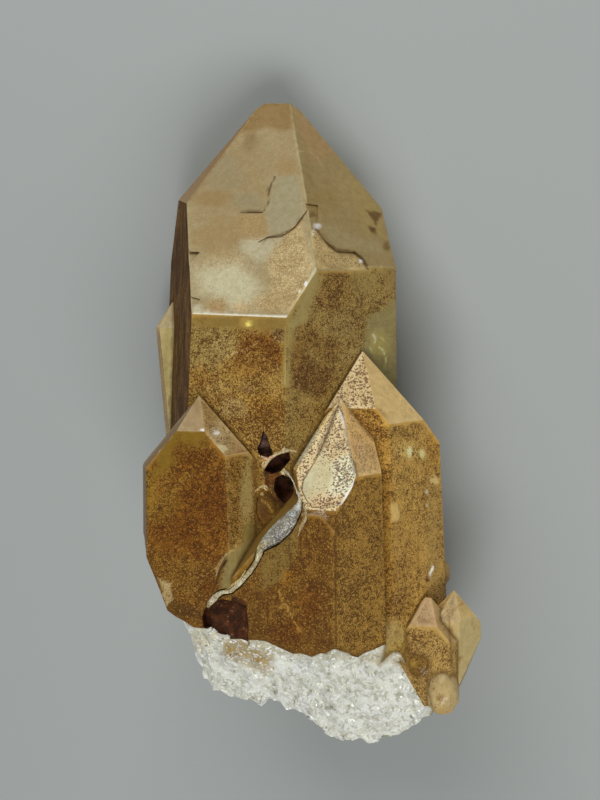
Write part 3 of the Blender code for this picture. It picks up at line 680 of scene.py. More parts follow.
        (spot(330, 516, 6, 6), tone(150, 118, 66, specks=0.4), 0.6),
    ],
    ("apron", "side", 0): [
        (area((262, 548), (292, 518), (304, 520), (296, 556), (280, 584), (258, 592)),
         tone(142, 118, 62, specks=0.35, rust=0.1), 0.85),
        (spot(308, 540, 10, 22), tone(158, 116, 42, specks=0.9, rust=0.2), 0.6),
        (spot(288, 578, 7, 5, -30), tone(176, 122, 26, specks=0.4), 0.8),
        (spot(299, 604, 8, 5), tone(176, 122, 26, specks=0.5), 0.7),
        (spot(296, 624, 8, 5, 40), tone(170, 112, 22, specks=0.4), 0.7),
        (spot(282, 590, 10, 8), tone(150, 104, 30, specks=0.7), 0.5),
        (spot(310, 600, 16, 16), tone(118, 68, 14, **RUSTY), 0.7),
        (spot(288, 632, 18, 14), tone(118, 72, 18, **RUSTY), 0.7),
        (spot(318, 640, 14, 8), tone(124, 82, 26, specks=0.8), 0.6),
        (stroke(1.0, (273, 558), (273, 577)), tone(50, 28, 8), 0.9),
        (stroke(1.0, (289, 544), (290, 556), (293, 568)), tone(60, 34, 12), 0.8),
        (stroke(1.0, (300, 528), (300, 562)), tone(66, 36, 14), 0.8),
        (stroke(0.9, (268, 598), (267, 618), (270, 636)), tone(66, 34, 10), 0.8),
        (stroke(0.8, (278, 590), (286, 604), (292, 618), (299, 630)), tone(196, 154, 82, specks=0.0), 0.8),
        (stroke(1.4, (332, 524), (333, 560), (334, 600), (334, 645)), tone(172, 130, 62, specks=0.3), 0.5),
        (area((206, 604), (212, 597), (222, 592), (246, 600), (249, 647), (225, 638), (210, 632),
              soft=1.5, ragged=2.0, fine=True), {"stain": 0.9}, 1.0),
        (area((247, 602), (262, 600), (262, 646), (249, 646)), tone(120, 86, 34, specks=0.7), 0.7),
        (spot(258, 594, 12, 4), tone(96, 60, 26, specks=0.6), 0.6),
        (stroke(1.2, (255, 592), (246, 598), (226, 597), (214, 598)), tone(110, 76, 30), 0.6),
    ],
    "amber_hollow": [
        (area((256, 500), (262, 490), (272, 492), (281, 506), (276, 520), (266, 527), (258, 524),
              soft=1.5, ragged=2.0, fine=True),
         tone(140, 96, 24, specks=0.7, rust=0.5), 0.7),
        (spot(264, 512, 4, 6, 20), tone(92, 56, 14), 0.8),
        # Bright golden flecks: painted glints.
        (stroke(1.0, (262, 500), (268, 504), (272, 512)), tone(210, 176, 84, specks=0.0), 0.8),
        (spot(275, 517, 1.6, 1.4), tone(240, 220, 150, specks=0.0), 0.9),
        (spot(262, 494, 2.2, 1.4, 20), tone(236, 206, 140, specks=0.0), 0.9),
    ],
    ("apron", "side", 60): [
        (spot(345, 560, 8, 22), tone(136, 92, 44, **RUSTY), 0.6),
        (spot(348, 530, 8, 12), tone(158, 120, 56, specks=0.8), 0.6),
        (stroke(1.4, (357, 540), (356, 560), (358, 590), (365, 604), (363, 622), (362, 648)),
         tone(76, 46, 16), 0.8),
        (area((336, 600), (358, 596), (362, 612), (360, 650), (337, 650)),
         tone(142, 118, 68, specks=0.5, rust=0.0), 0.8),
        (spot(338, 640, 3, 4), tone(90, 84, 70), 0.6),
        (spot(376, 634, 16, 18), tone(150, 132, 84, specks=0.4, rust=0.0), 0.85),
        (stroke(1.0, (340, 616), (348, 608), (354, 600)), tone(176, 138, 70), 0.5),
        (spot(346, 537, 1.6, 2.0), GLINT, 0.8),
        (spot(346, 552, 1.2, 1.6), WHITE, 0.7),
    ],
    "small_front": [
        (spot(424, 612, 18, 8), tone(182, 152, 110, specks=0.5, spots=0.5), 0.5),
        (stroke(0.9, (404, 622), (436, 620), (446, 626)), tone(160, 112, 66), 0.5),
        (spot(420, 636, 16, 8), tone(166, 130, 70, specks=0.9), 0.5),
        (spot(424, 662, 14, 8), tone(176, 146, 86, specks=0.4), 0.5),
        (spot(410, 650, 4, 6), tone(128, 90, 38), 0.6),
        (stroke(0.9, (448, 616), (450, 640), (452, 672)), tone(110, 78, 34), 0.7),
    ],
    "small_right": [
        (stroke(1.0, (450, 618), (455, 608), (463, 603), (474, 604)), tone(150, 104, 56, specks=0.6), 0.6),
        (spot(452, 600, 4, 10), tone(160, 138, 92, specks=0.6, spots=0.4), 0.6),
        (spot(466, 640, 9, 16), tone(164, 150, 108), 0.5),
        (stroke(0.9, (449, 616), (450, 640), (452, 672)), tone(110, 78, 34), 0.7),
        (spot(460, 658, 2.4, 1.8), tone(124, 92, 46), 0.7),
        (stroke(0.8, (472, 622), (474, 630)), tone(124, 92, 46), 0.6),
    ],
    "nub": [
        (stroke(1.2, (437, 669), (447, 671), (455, 680)), tone(196, 150, 112, spots=0.1), 0.7),
        (spot(440, 698, 5, 3), tone(134, 104, 50), 0.8),
        (spot(434, 688, 3, 2), tone(140, 104, 52), 0.6),
        (spot(444, 712, 10, 4), tone(176, 142, 84), 0.6),
        (stroke(1.0, (430, 676), (428, 694), (434, 710)), tone(110, 76, 34), 0.6),
    ],
    "amber_nub": [
        (spot(408, 653, 10, 3), tone(96, 68, 26), 0.7),
        (spot(420, 672, 10, 5), tone(104, 78, 32), 0.7),
        (spot(412, 663, 4, 4), tone(164, 130, 62, specks=0.2), 0.7),
    ],
    "crust": [
        (spot(266, 458, 5, 3), tone(226, 178, 150), 0.9),
        (stroke(1.4, (303, 506), (306, 511), (304, 520)), tone(120, 92, 56), 0.6),
        (spot(300, 530, 4, 6), tone(196, 166, 120), 0.8),
        (spot(256, 492, 4, 4), tone(222, 186, 110), 0.8),
        (stroke(2.5, (246, 570), (236, 582), (225, 590)), tone(196, 176, 110), 0.9),
        (spot(220, 564, 8, 14), tone(150, 118, 66, specks=0.8), 0.9),
    ],
    "root": [
        (area((218, 640), (240, 640), (270, 648), (276, 660), (264, 672), (246, 668), (228, 656)),
         tone(150, 122, 62), 1.0),
        (spot(266, 668, 6, 8), tone(166, 138, 84), 0.7),
        (spot(204, 622, 16, 6, 20), tone(128, 112, 64), 0.9),
        (spot(226, 632, 16, 6, 20), tone(150, 128, 76), 0.8),
        (spot(203, 639, 13, 14), tone(186, 174, 136), 0.7),
        (spot(300, 650, 60, 6, 6), tone(150, 136, 84), 0.6),
        (spot(380, 658, 26, 5), tone(160, 144, 92), 0.6),
        (spot(302, 668, 12, 6), tone(236, 240, 234), 0.7),
        (spot(300, 708, 14, 8, 30), tone(228, 230, 220), 0.6),
        (area((361, 704), (376, 702), (392, 712), (388, 724), (376, 727), (366, 722), soft=1.5),
         tone(214, 218, 208), 0.8),
        (spot(352, 738, 10, 6), tone(196, 190, 176), 0.6),
        (stroke(1.2, (364, 724), (378, 731), (390, 730)), tone(150, 148, 132), 0.6),
        # Small dark dots and strokes here: painted shade of pits in the break.
        (spot(274, 684, 1.8, 1.8), tone(70, 66, 54), 1.0),
        (spot(308, 717, 2.2, 1.2), tone(50, 46, 36), 1.0),
        (spot(347, 742, 1.8, 1.4), tone(60, 52, 40), 0.9),
        (spot(300, 680, 2.2, 1.6), tone(140, 136, 112), 0.9),
        (spot(321, 671, 4, 1.6, 20), tone(110, 104, 78), 0.7),
        (spot(328, 674, 3, 1.8), tone(90, 84, 60), 0.6),
        (stroke(1.0, (411, 716), (414, 722), (415, 728)), tone(50, 46, 36), 0.9),
        (stroke(0.9, (417, 714), (420, 724)), tone(70, 66, 50), 0.8),
        (spot(367, 696, 3, 1.4), tone(110, 104, 80), 0.6),
        (spot(208, 628, 5, 2, 30), tone(60, 50, 26), 0.7),
    ],
}


# The same for the mica, with its own brightness.
MICA_LIT = 1.06
MICA_GREY = (144, 138, 120)
MICA_PAINT = [
    (stroke(6.0, (262, 545), (251, 571), (234, 588), (206, 606)), (170, 152, 96), 1.0),
    (spot(240, 583, 9, 4, -35), (196, 184, 146), 0.8),
    (spot(214, 600, 5, 4, -40), (206, 190, 160), 0.8),
    (stroke(7.0, (276, 466), (286, 480), (299, 502)), (214, 208, 176), 1.0),
    # The lens's pale upper-left rim: flaky edge, brightened as painted light.
    (stroke(3.5, (302, 508), (290, 505), (280, 512)), (196, 200, 190), 0.9),
    (stroke(3.0, (280, 512), (270, 526), (264, 540)), (176, 178, 168), 0.8),
    (spot(292, 514, 5, 3, -20), (150, 160, 160), 0.7),
    (spot(288, 524, 6, 4, -40), (140, 136, 126), 0.7),
    (spot(278, 536, 7, 5, -30), (96, 90, 88), 0.8),
    # Dark brown line along the lens's lower right side: painted shadow.
    (stroke(2.5, (264, 550), (278, 545), (292, 536), (300, 526)), (70, 52, 36), 0.9),
    (spot(304, 510, 3, 4), (96, 74, 44), 0.8),
    (spot(300, 524, 4, 8, 10), (176, 150, 110), 0.8),
]


def face_direction(turn, rise, lean):
    """Which way a crystal face looks."""
    angle = math.radians(turn)
    upright = Vector((math.sin(angle), rise, math.cos(angle)))
    return Matrix.Rotation(math.radians(lean), 3, "Z") @ upright


def crystal_planes():
    """Each face's name with its unit direction, and how far it lies along it from the main tip."""
    planes = []
    for name, (tip, lean, sides, stands_off) in CRYSTALS.items():
        faces = [("side", turn, 0.0 if turn == 180 else SIDE_TAPER, sides[turn]) for turn in sides]
        faces += [("tip", turn, TIP_SLOPE, stands_off.get(turn, 0.0)) for turn in SIX_WAYS]
        for kind, turn, rise, distance in faces:
            direction = face_direction(turn, rise, lean)
            reach = (distance + direction.dot(Vector(tip))) / direction.length
            planes.append(((name, kind, turn), direction.normalized(), reach))
    return planes


def inside(point, centre, half_sizes, growth=1.0):
    """Whether a point is in a rounded part, grown by this much."""
    return sum(((p - c) / (h * growth)) ** 2 for p, c, h in zip(point, centre, half_sizes)) < 1.0


def hollow_at(point):
    """The hollow that a point lies in, if any."""
    place = np.array([(point.x, point.y)])
    for name, (low, high, outline) in HOLLOWS.items():
        if low < point.z < high and depth_inside(place, outline)[0] > -HOLLOW_MARGIN:
            return name
    return None


def part_of(face, planes):
    """What a flat piece of the surface belongs to."""
    middle = face.calc_center_median()
    sunk = {name: reach - direction.dot(middle) for name, direction, reach in planes
            if face.normal.dot(direction) > SAME_WAY}
    if all(low < place < high for low, place, high in zip(BROKEN_FROM, middle, BROKEN_TO)):
        if LEAST_SUNK < sunk.get(("front", "tip", 0), 0.0) < MOST_SUNK:
            return "broken"
    for name, direction, reach in planes:
        if face.normal.dot(direction) > SAME_PLANE_WAY and abs(direction.dot(middle) - reach) < ON_PLANE:
            return name
    for name, (centre, half_sizes) in NUBS.items():
        if inside(middle, centre, half_sizes, NUB_GROWTH):
            return name
    at_foot = any(face.normal.dot(direction.normalized()) > FOOT_WAY for direction in FOOT_DIRECTIONS)
    if at_foot and middle.x > FOOT_FROM[0] and middle.z > FOOT_FROM[1]:
        return "foot"
    hollow = hollow_at(middle)
    if hollow:
        return "amber_hollow" if hollow == "amber" else "hollow"
    for name, depth in sunk.items():
        if -LEAST_SUNK < depth < MOST_SUNK:
            return name
    at_seam = any((Vector(point) - middle).length < NEAR_SEAM for point in SEAM_PATH)
    on_front = middle.z > FRONT_WALL_LEVEL and middle.y > FRONT_WALL_ABOVE
    return "wall" if at_seam or on_front or middle.y > WALL_ABOVE else "root"


def look_of(part):
    """A part's own look, or the usual one of its kind."""
    if part in LOOKS:
        return LOOKS[part]
    return TIP_LOOK if part[1] == "tip" else SIDE_LOOK


def patches_of(part):
    """The patches painted on a part: its own, and those of its whole crystal."""
    crystal = part[0] if isinstance(part, tuple) else part
    found = PAINT.get(part, []) + (PAINT.get(crystal, []) if crystal != part else [])
    return found + (PAINT["apron", "side", 0] if part in (("front", "side", 0), "hollow") else [])


def flat_faces(node):
    """The node's mesh in millimetres from the tip, with each flat face made one again."""
    bm = bmesh.new()
    bm.from_mesh(node.data)
    for vert in bm.verts:
        vert.co = vert.co / MM - TIP
    bmesh.ops.remove_doubles(bm, verts=bm.verts, dist=WELD)
    bmesh.ops.dissolve_limit(bm, angle_limit=FLAT_ANGLE, verts=bm.verts, edges=bm.edges)
    bm.normal_update()
    return bm


def mark_parts(bm):
    """Number the flat faces, and note for each what it is, its worn edges that get a painted highlight, and
    its creases and root joins that get painted shade.
    """
    number = bm.faces.layers.int.new("number")
    planes = crystal_planes()
    parts = []
    for index, face in enumerate(bm.faces):
        face[number] = index
        parts.append(part_of(face, planes))
    worn_edge_highlight = [[] for _ in parts]
    shaded_creases = [[] for _ in parts]
    for edge in bm.edges:
        names = [parts[face[number]] for face in edge.link_faces]
        if len(names) != 2 or names[0] == names[1] or UNLINED.intersection(names):
            continue
        line = [vert.co.copy() for vert in edge.verts]
        both_faces = all(isinstance(name, tuple) for name in names)
        tips = [name for name in names if isinstance(name, tuple) and name[1] == "tip"]
        if "root" in names or not edge.is_convex:
            chosen = shaded_creases
        elif both_faces and tips:
            chosen = worn_edge_highlight
        else:
            continue
        for face in edge.link_faces:
            chosen[face[number]].append(line)
    return parts, worn_edge_highlight, shaded_creases


def bevel_edges(bm, parts):
    """Blunt the crystals' outer edges a little."""
    number = bm.faces.layers.int["number"]
    blunted = []
    for edge in bm.edges:
        names = [parts[face[number]] for face in edge.link_faces]
        flat = all(isinstance(name, tuple) or name == "broken" for name in names)
        if flat and edge.is_convex and edge.calc_face_angle(0.0) > BEVEL_FROM:
            blunted.append(edge)
    bmesh.ops.bevel(
        bm, geom=blunted, offset=BEVEL, offset_type="OFFSET", segments=2, profile=0.6, affect="EDGES",
        clamp_overlap=False)


def crystal_faces(bm, parts):
    """All faces but those of the root and the rounded parts."""
    number = bm.faces.layers.int["number"]
    return [face for face in bm.faces if parts[face[number]] not in ("root", *NUBS)]


def cut_into_cells(bm, parts):
    """Cut the flat faces into small cells, so that colours can change across them."""
    faces = crystal_faces(bm, parts)
    edges = {edge for face in faces for edge in face.edges}
    verts = {vert for face in faces for vert in face.verts}
    pieces = faces + list(edges) + list(verts)
    for axis in range(3):
        direction = Vector([float(axis == k) for k in range(3)])
        low = min(vert.co[axis] for vert in bm.verts)
        high = max(vert.co[axis] for vert in bm.verts)
        for step in range(1, int((high - low) / CELL) + 1):
            place = direction * (low + step * CELL)
            cut = bmesh.ops.bisect_plane(bm, geom=pieces, dist=1e-4, plane_co=place, plane_no=direction)
            pieces = cut["geom"]


def photo_places(points):
    """Where points show in the photograph, in its pixels."""
    seen = points - np.array(CAMERA_PLACE)
    depth = -seen.dot(np.array(CAMERA_BACK))
    across = PHOTO_SIZE[0] / 2 + FOCUS * seen.dot(np.array(CAMERA_RIGHT)) / depth
    down = PHOTO_SIZE[1] / 2 - FOCUS * seen.dot(np.array(CAMERA_UP)) / depth
    return np.stack([across, down], axis=1)


def split_finer(bm, faces, cuts):
    """Cut faces into small triangles."""
    made = bmesh.ops.triangulate(bm, faces=faces)
    edges = list({edge for face in made["faces"] for edge in face.edges})
    bmesh.ops.subdivide_edges(bm, edges=edges, cuts=cuts, use_grid_fill=True)


def refine_for_patches(bm, parts):
    """Make the cells finer where a narrow patch is painted, and near the tip."""
    number = bm.faces.layers.int["number"]
    faces = [face for face in crystal_faces(bm, parts) if face.normal.dot(CAMERA_BACK) > 0.0]
    middles = np.array([face.calc_center_median() for face in faces])
    numbers = np.array([face[number] for face in faces])
    places = photo_places(middles)
    wanted = np.linalg.norm(middles - np.array(FINE_CENTRE), axis=1) < FINE_REACH
    nearby = FINE_MARGIN * np.array([(0, 0), (1, 0), (-1, 0), (0, 1), (0, -1)])
    for index in np.unique(numbers):
        chosen = np.nonzero(numbers == index)[0]
        still = np.full(len(chosen), -0.5)
        for share, _, _ in patches_of(parts[index]):
            for step in nearby if share.fine else ():
                amount = share(places[chosen] + step, still, still)
                wanted[chosen] |= (amount > 0.0) & (amount < 1.0)
    split_finer(bm, [face for face, chosen in zip(faces, wanted) if chosen], FINE_CUTS)


def wear_tip(bm):
    """Round the tip, as the photograph shows it."""
    near = [vert for vert in bm.verts if (vert.co - WORN_CENTRE).length < WORN_REACH]
    for _ in range(WEAR_ROUNDS):
        bmesh.ops.smooth_vert(bm, verts=near, factor=0.5, use_axis_x=True, use_axis_y=True, use_axis_z=True)


def pixel_on_plane(x, y, direction, reach):
    """The point of a plane that shows at a pixel of the photograph."""
    across, down = x - PHOTO_SIZE[0] / 2, PHOTO_SIZE[1] / 2 - y
    sight = across * CAMERA_RIGHT + down * CAMERA_UP - FOCUS * CAMERA_BACK
    return CAMERA_PLACE + sight * ((reach - direction.dot(CAMERA_PLACE)) / direction.dot(sight))


def add_crust(bm, points, widths, direction):
    """An uneven closed ridge along a line on a face that looks in this direction."""
    rings = []
    last = len(points) - 1
    for index, (point, width) in enumerate(zip(points, widths)):
        forward = (points[min(index + 1, last)] - points[max(index - 1, 0)]).normalized()
        sideways = forward.cross(direction).normalized()
        ring = []
        for step in range(CRUST_SIDES):
            angle = math.tau * step / CRUST_SIDES
            offset = sideways * math.cos(angle) + direction * math.sin(angle)
            size = width * (1.0 + CRUST_CHANGE * noise.noise((point + offset * 0.5) * CRUST_PITCH))
            ring.append(bm.verts.new(point + offset * size))
        rings.append(ring)
    made = [bm.faces.new(rings[0][::-1]), bm.faces.new(rings[-1])]
    for ring, following in zip(rings, rings[1:]):
        for step in range(CRUST_SIDES):
            after = (step + 1) % CRUST_SIDES
            made.append(bm.faces.new((ring[step], ring[after], following[after], following[step])))
    bmesh.ops.recalc_face_normals(bm, faces=made)
    return made


def add_crusts(bm, parts, worn_edge_highlight, shaded_creases):
    """Put the pale crusts on their faces, as a part of their own."""
    number = bm.faces.layers.int["number"]
    planes = {name: (direction, reach) for name, direction, reach in crystal_planes()}
    parts.append("crust")
    worn_edge_highlight.append([])
    shaded_creases.append([])
    for face_name, pixels, widths in CRUSTS:
        direction, reach = planes[face_name]
        points = [pixel_on_plane(x, y, direction, reach) for x, y in pixels]
        for face in add_crust(bm, points, widths, direction):
            face[number] = len(parts) - 1


def root_lines(parts, shaded_creases):
    """The lines along which the root meets the crystals."""
    return [line for part, lines in zip(parts, shaded_creases) if part == "root" for line in lines]


def slanted_cell(point, sizes, variety):
    """How high a point lies in the slanted piece of broken stone round it, and that piece's middle."""
    stretched = Vector([value / size for value, size in zip(point, sizes)])
    _, centres = noise.voronoi(stretched)
    slant = noise.noise_vector(centres[0] * variety)
    return (stretched - centres[0]).dot(slant), centres[0]


def root_sink(point):
    """How deep the break lies under the solid's surface at a point."""
    slant, middle = slanted_cell(point, FACET_SIZE, 7.3)
    facet = slant * FACET_SLANT + noise.noise(middle * 3.1) * FACET_STEP
    chip, _ = slanted_cell(point, CHIP_SIZE, 5.1)
    grain = noise.noise(point / GRAIN_SIZE)
    return max(0.0, MIDDLE_SINK + FACET_DEPTH * facet + CHIP_DEPTH * chip + GRAIN_DEPTH * grain)


def roughen_root(bm, parts, shaded_creases):
    """Break the root into small slanted facets with fine grains."""
    # The depth is kept so that the material can paint shade and light by it.
    depth_layer = bm.verts.layers.float.new("sink")
    number = bm.faces.layers.int["number"]
    split_finer(bm, [face for face in bm.faces if parts[face[number]] == "root"], ROOT_CUTS)
    bm.normal_update()
    inner = [vert for vert in bm.verts if all(parts[face[number]] == "root" for face in vert.link_faces)]
    points = np.array([vert.co for vert in inner])
    from_edge = np.clip(distance_to_lines(points, root_lines(parts, shaded_creases)) / FADE_WIDTH, 0.0, 1.0)
    moves = []
    for vert, fade in zip(inner, from_edge):
        sink = root_sink(vert.co)
        vert[depth_layer] = sink * fade
        moves.append(vert.normal * (-min(sink, DEEPEST_SINK) * fade))
    for vert, move in zip(inner, moves):
        vert.co += move


def shape_nubs(bm, parts):
    """Make the rounded nubs a little uneven."""
    number = bm.faces.layers.int["number"]
    rounded = [face for face in bm.faces if parts[face[number]] in NUBS]
    split_finer(bm, rounded, NUB_CUTS)
    for vert in bm.verts:
        if all(parts[face[number]] in NUBS for face in vert.link_faces):
            swell = sum(height * noise.noise(vert.co / size) for height, size in NUB_SWELLINGS)
            vert.co += vert.normal * (swell - NUB_SHRINK)


def uneven(points, size, seed):
    """Slow noise from -1 to 1 at each point."""
    offset = Vector((seed, seed * 0.7, seed * 1.3))
    return np.array([noise.noise(Vector(point) / size + offset) for point in points])


def values_of(items, name, kind=float, width=1):
    """One property of all of these items as an array, with a row each where it has several numbers."""
    values = np.empty(len(items) * width, dtype=kind)
    items.foreach_get(name, values)
    return values if width == 1 else values.reshape(-1, width)


def own_qualities(parts, part_number):
    """What each corner has from its part's look."""
    looks = [look_of(part) for part in parts]
    values = {}
    for quality in ("colour", "specks", "satin", "rust", "cloud", "spots"):
        values[quality] = np.array([getattr(look, quality) for look in looks])[part_number]
    values["stain"] = np.array([float(part == "hollow") for part in parts])[part_number]
    return values


def edge_distances(parts, part_number, corners, worn_edge_highlight, shaded_creases):
    """How far each corner is from a worn edge with painted highlight, and from a crease with painted shade,
    root joins included.
    """
    values = {}
    for quality, lines in (("edge", worn_edge_highlight), ("crease", shaded_creases)):
        values[quality] = np.full(len(corners), FAR)
        for index, some in enumerate(lines):
            chosen = np.nonzero(part_number == index)[0] if some else []
            if len(chosen):
                values[quality][chosen] = np.minimum(distance_to_lines(corners[chosen], some), FAR)
    on_root = np.nonzero(np.array([part == "root" for part in parts])[part_number])[0]
    from_edge = distance_to_lines(corners[on_root], root_lines(parts, shaded_creases))
    values["crease"][on_root] = np.minimum(from_edge, FAR)
    return values


def add_patches(values, parts, part_number, corner_verts, points, facing):
    """Change the qualities where patches are painted, on the corners that face the photograph's camera."""
    places = photo_places(points)
    wander = uneven(points, *WANDER)
    nervous = uneven(points, *NERVOUS)
    kinds = {}
    for index, part in enumerate(parts):
        kinds.setdefault(part, []).append(index)
    for part, indices in kinds.items():
        chosen = np.nonzero(np.isin(part_number, indices) & facing)[0]
        verts = corner_verts[chosen]
        for share, changes, strength in patches_of(part):
            amount = strength * share(places[verts], wander[verts], nervous[verts])
            for quality, value in changes.items():
                if quality == "colour":
                    value = np.minimum(np.array(srgb(*value)) * look_of(part).lit, BRIGHTEST)
                change = (value - values[quality][chosen]).T * amount
                values[quality][chosen] += change.T


def write_quality(mesh, quality, data):
    """Keep a number or a colour for every corner of the mesh."""
    if quality == "colour":
        layer = mesh.attributes.new(quality, "FLOAT_COLOR", "CORNER")
        layer.data.foreach_set("color", np.column_stack([data, np.ones(len(data))]).ravel())
    else:
        layer = mesh.attributes.new(quality, "FLOAT", "CORNER")
        layer.data.foreach_set("value", data)


def paint(mesh, numbers, parts, worn_edge_highlight, shaded_creases):
    """Give every corner of the mesh its colour and the other qualities that its material reads."""
    corner_verts = values_of(mesh.loops, "vertex_index", int)
    points = values_of(mesh.vertices, "co", width=3)
    normals = values_of(mesh.polygons, "normal", width=3)
    corners_each = values_of(mesh.polygons, "loop_total", int)
    face_of = np.repeat(np.arange(len(corners_each)), corners_each)
    part_number = numbers[face_of]
    values = own_qualities(parts, part_number)
    values.update(edge_distances(parts, part_number, points[corner_verts], worn_edge_highlight, shaded_creases))
    facing = normals.dot(np.array(CAMERA_BACK))[face_of] > LEAST_FACING
    add_patches(values, parts, part_number, corner_verts, points, facing)
    for quality, data in values.items():
        write_quality(mesh, quality, data)


def make_crystals():
    """The whole cluster, from the frame's solid, with blunted edges and a grainy root."""
    bm = flat_faces(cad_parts["quartz_cluster"])
    parts, worn_edge_highlight, shaded_creases = mark_parts(bm)
    bevel_edges(bm, parts)
    cut_into_cells(bm, parts)
    refine_for_patches(bm, parts)
    wear_tip(bm)
    shape_nubs(bm, parts)
    roughen_root(bm, parts, shaded_creases)
    add_crusts(bm, parts, worn_edge_highlight, shaded_creases)
    bmesh.ops.triangulate(bm, faces=bm.faces)
    mesh = bpy.data.meshes.new("crystals")
    bm.to_mesh(mesh)
    bm.free()
    numbers = values_of(mesh.attributes["number"].data, "value", int)
    paint(mesh, numbers, parts, worn_edge_highlight, shaded_creases)
    material_numbers = {"root": 1, ("main", "side", 297.9): 2}
    for polygon, number in zip(mesh.polygons, numbers):
        polygon.material_index = material_numbers.get(parts[number], 0)
        polygon.use_smooth = parts[number] in NUBS or parts[number] == "crust"
    return add_piece("crystals", mesh, "quartz_cluster",
                     (speckled_quartz(), snowy_quartz(), striped_quartz()))


def add_piece(name, mesh, node, materials):
    """Put a finished mesh in the frame in place of a node."""
    mesh.transform(Matrix.Translation(TIP * MM) @ Matrix.Scale(MM, 4))
    piece = bpy.data.objects.new(name, mesh)
    bpy.context.scene.collection.objects.link(piece)
    for material in materials:
        mesh.materials.append(material)
    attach(piece, "root")
    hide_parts(node)
    return piece


class Socket:
    """A node's output that can be used in sums."""

    def __init__(self, tree, output):
        self.tree = tree
        self.output = output

    def worked_out(self, operation, *values, clamp=False):
        """The result of one sum."""
        node = self.tree.nodes.new("ShaderNodeMath")
        node.operation = operation
        node.use_clamp = clamp
        for index, value in enumerate(values):
            if isinstance(value, Socket):
                self.tree.links.new(value.output, node.inputs[index])
            else:
                node.inputs[index].default_value = value
        return Socket(self.tree, node.outputs[0])

    def __add__(self, other):
        return self.worked_out("ADD", self, other)

    def __radd__(self, other):
        return self.worked_out("ADD", other, self)

    def __sub__(self, other):
        return self.worked_out("SUBTRACT", self, other)

    def __rsub__(self, other):
        return self.worked_out("SUBTRACT", other, self)

    def __mul__(self, other):
        return self.worked_out("MULTIPLY", self, other)

    def __rmul__(self, other):
        return self.worked_out("MULTIPLY", other, self)

    def __abs__(self):
        return self.worked_out("ABSOLUTE", self)

    def clamped(self):
        return self.worked_out("ADD", self, 0.0, clamp=True)

    def larger(self, other):
        return self.worked_out("MAXIMUM", self, other)


